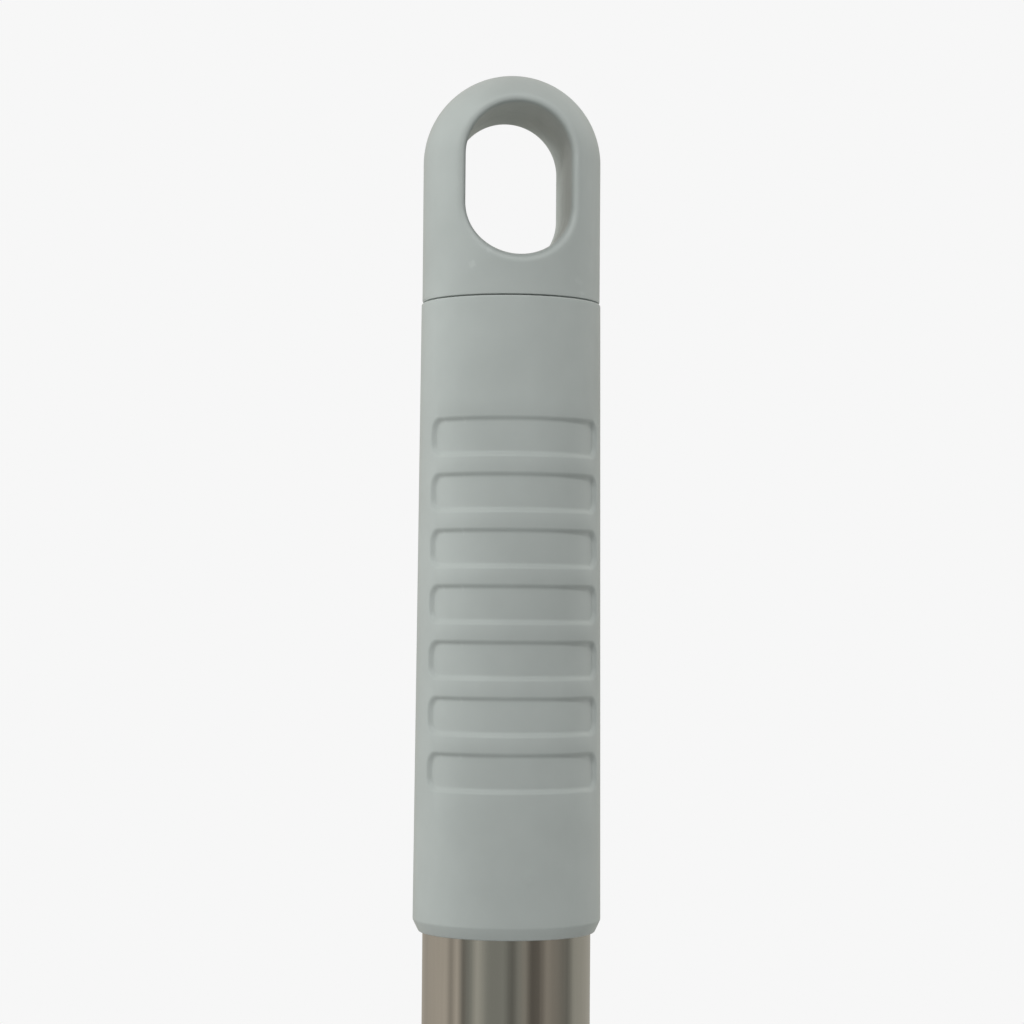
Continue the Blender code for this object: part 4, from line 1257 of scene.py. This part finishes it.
def light_room():
    """Background light by kind of ray. Camera rays see plain pale. Glossy rays see a grey band chosen by
    the compass direction atan2(x, -y), and a bright window higher up in front. The rest sees a pale room
    that is dim below, brightest just over the horizon and dimmer behind."""
    world = bpy.data.worlds.new("studio")
    bpy.context.scene.world = world
    world.use_nodes = True
    tree = world.node_tree
    background = tree.nodes["Background"]
    way = add(tree, "ShaderNodeSeparateXYZ", {0: add(tree, "ShaderNodeTexCoord").outputs["Generated"]})
    compass = maths(tree, "ARCTAN2", way.outputs["X"], maths(tree, "MULTIPLY", way.outputs["Y"], -1))
    bands = add(tree, "ShaderNodeValToRGB", {"Fac": ramp(tree, compass, -math.pi, math.pi, 0, 1)})
    colours = []
    for degrees, grey, warmth in ROOM_BANDS:
        colour = (grey, grey * (1.02 - 0.10 * warmth), grey * (0.92 - 0.12 * warmth), 1)
        colours.append((0.5 + degrees / 360, colour))
    set_stops(bands, colours)
    upper = ramp(tree, way.outputs["Z"], 0.35, 0.65, 0, 1)
    upper = maths(tree, "MULTIPLY", upper, ramp(tree, way.outputs["Y"], -0.35, 0.05, 1, 0.15))
    room = blend_colours(tree, upper, bands.outputs["Color"], (SKY_GLINT, SKY_GLINT, SKY_GLINT))
    heights = add(tree, "ShaderNodeValToRGB", {"Fac": ramp(tree, way.outputs["Z"], -1, 1, 0, 1)})
    set_stops(heights, [(place, (grey, grey * 1.01, grey * 1.02, 1)) for place, grey in FILL_BY_HEIGHT])
    inputs = {0: heights.outputs["Color"], "Scale": ramp(tree, way.outputs["Y"], -0.6, 0.8, 1, FILL_BEHIND)}
    fill = add(tree, "ShaderNodeVectorMath", inputs, operation="SCALE").outputs["Vector"]
    ray = add(tree, "ShaderNodeLightPath")
    seen = blend_colours(tree, ray.outputs["Is Glossy Ray"], fill, room)
    tree.links.new(blend_colours(tree, ray.outputs["Is Camera Ray"], seen, PALE), background.inputs["Color"])


light_room()

# %% Lamps
# Each sun is (place, strength, degrees across, colour), and each panel (place, side, watts, what it faces).
SUNS = {
    "window_left": ((-1.0, 0.40, 0.30), 1.9, 45, (0.97, 0.99, 1.0)),
    "window_right": ((1.0, 0.60, 0.25), 1.3, 60, (1.0, 1.0, 0.98)),
    "window_behind": ((0.5, 1.0, 0.7), 0.9, 60, (1.0, 1.0, 0.98)),
}
PANELS = {
    "panel_by_grip": ((-0.13, -0.42, 0.24), 0.05, 1.2, (0, 0, -0.06)),
    "panel_by_head": ((-0.50, -0.60, -0.95), 0.30, 1.3, (0, 0, -1.35)),
}


def hang_lamp(name, lamp, place, target=(0, 0, 0)):
    """Hangs a lamp at a place with its -Z turned to the target. Steel doesn't mirror it."""
    made = bpy.data.objects.new(name, lamp)
    made.location = place
    away = np.array(place) - np.array(target)
    level = math.hypot(away[0], away[1])
    made.rotation_euler = (math.atan2(level, away[2]), 0, math.atan2(away[0], -away[1]))
    made.visible_glossy = False
    bpy.context.scene.collection.objects.link(made)


for name, (place, strength, spread, colour) in SUNS.items():
    sun = bpy.data.lights.new(name, "SUN")
    sun.energy = strength
    sun.angle = math.radians(spread)
    sun.color = colour
    hang_lamp(name, sun, place)

for name, (place, size, watts, target) in PANELS.items():
    panel = bpy.data.lights.new(name, "AREA")
    panel.size = size
    panel.energy = watts
    hang_lamp(name, panel, place, target)

bpy.context.scene.view_settings.view_transform = "Standard"
print(len(SUNS), "broad windows and", len(PANELS), "small lamps")

# %% Floor
FLOOR_R = 1.3
FLOOR_RINGS = 12
FLOOR_SIDES = 96
FLOOR_DROP = 0.006


def floor_disc():
    """Rings (r cos a, r sin a, z) round one middle point, just under the ends of the yarn."""
    radius = np.linspace(0, FLOOR_R, FLOOR_RINGS)[:, None]
    angle = np.arange(FLOOR_SIDES)[None, :] * 2 * math.pi / FLOOR_SIDES
    level = np.full((FLOOR_RINGS, FLOOR_SIDES), cad_box[0].z - FLOOR_DROP)
    grid = np.stack([radius * np.cos(angle), radius * np.sin(angle), level], axis=-1)
    return grid.reshape(-1, 3), grid_faces(FLOOR_RINGS, FLOOR_SIDES, wrap_columns=True)


def floor_finish():
    """A matt grey floor, a little cloudy."""
    material, tree, shader = new_finish("floor", {"Roughness": 0.8, "Specular IOR Level": 0.2})
    cloud = noise(tree, own_place(tree), 3, 3, 0.5)
    tone = blend_colours(tree, ramp(tree, cloud, 0.3, 0.7, 0, 1), (0.60, 0.60, 0.59), (0.64, 0.64, 0.63))
    tree.links.new(tone, shader.inputs["Base Color"])
    return material


floor = skin("floor", [floor_disc()])
floor.data.materials.append(floor_finish())
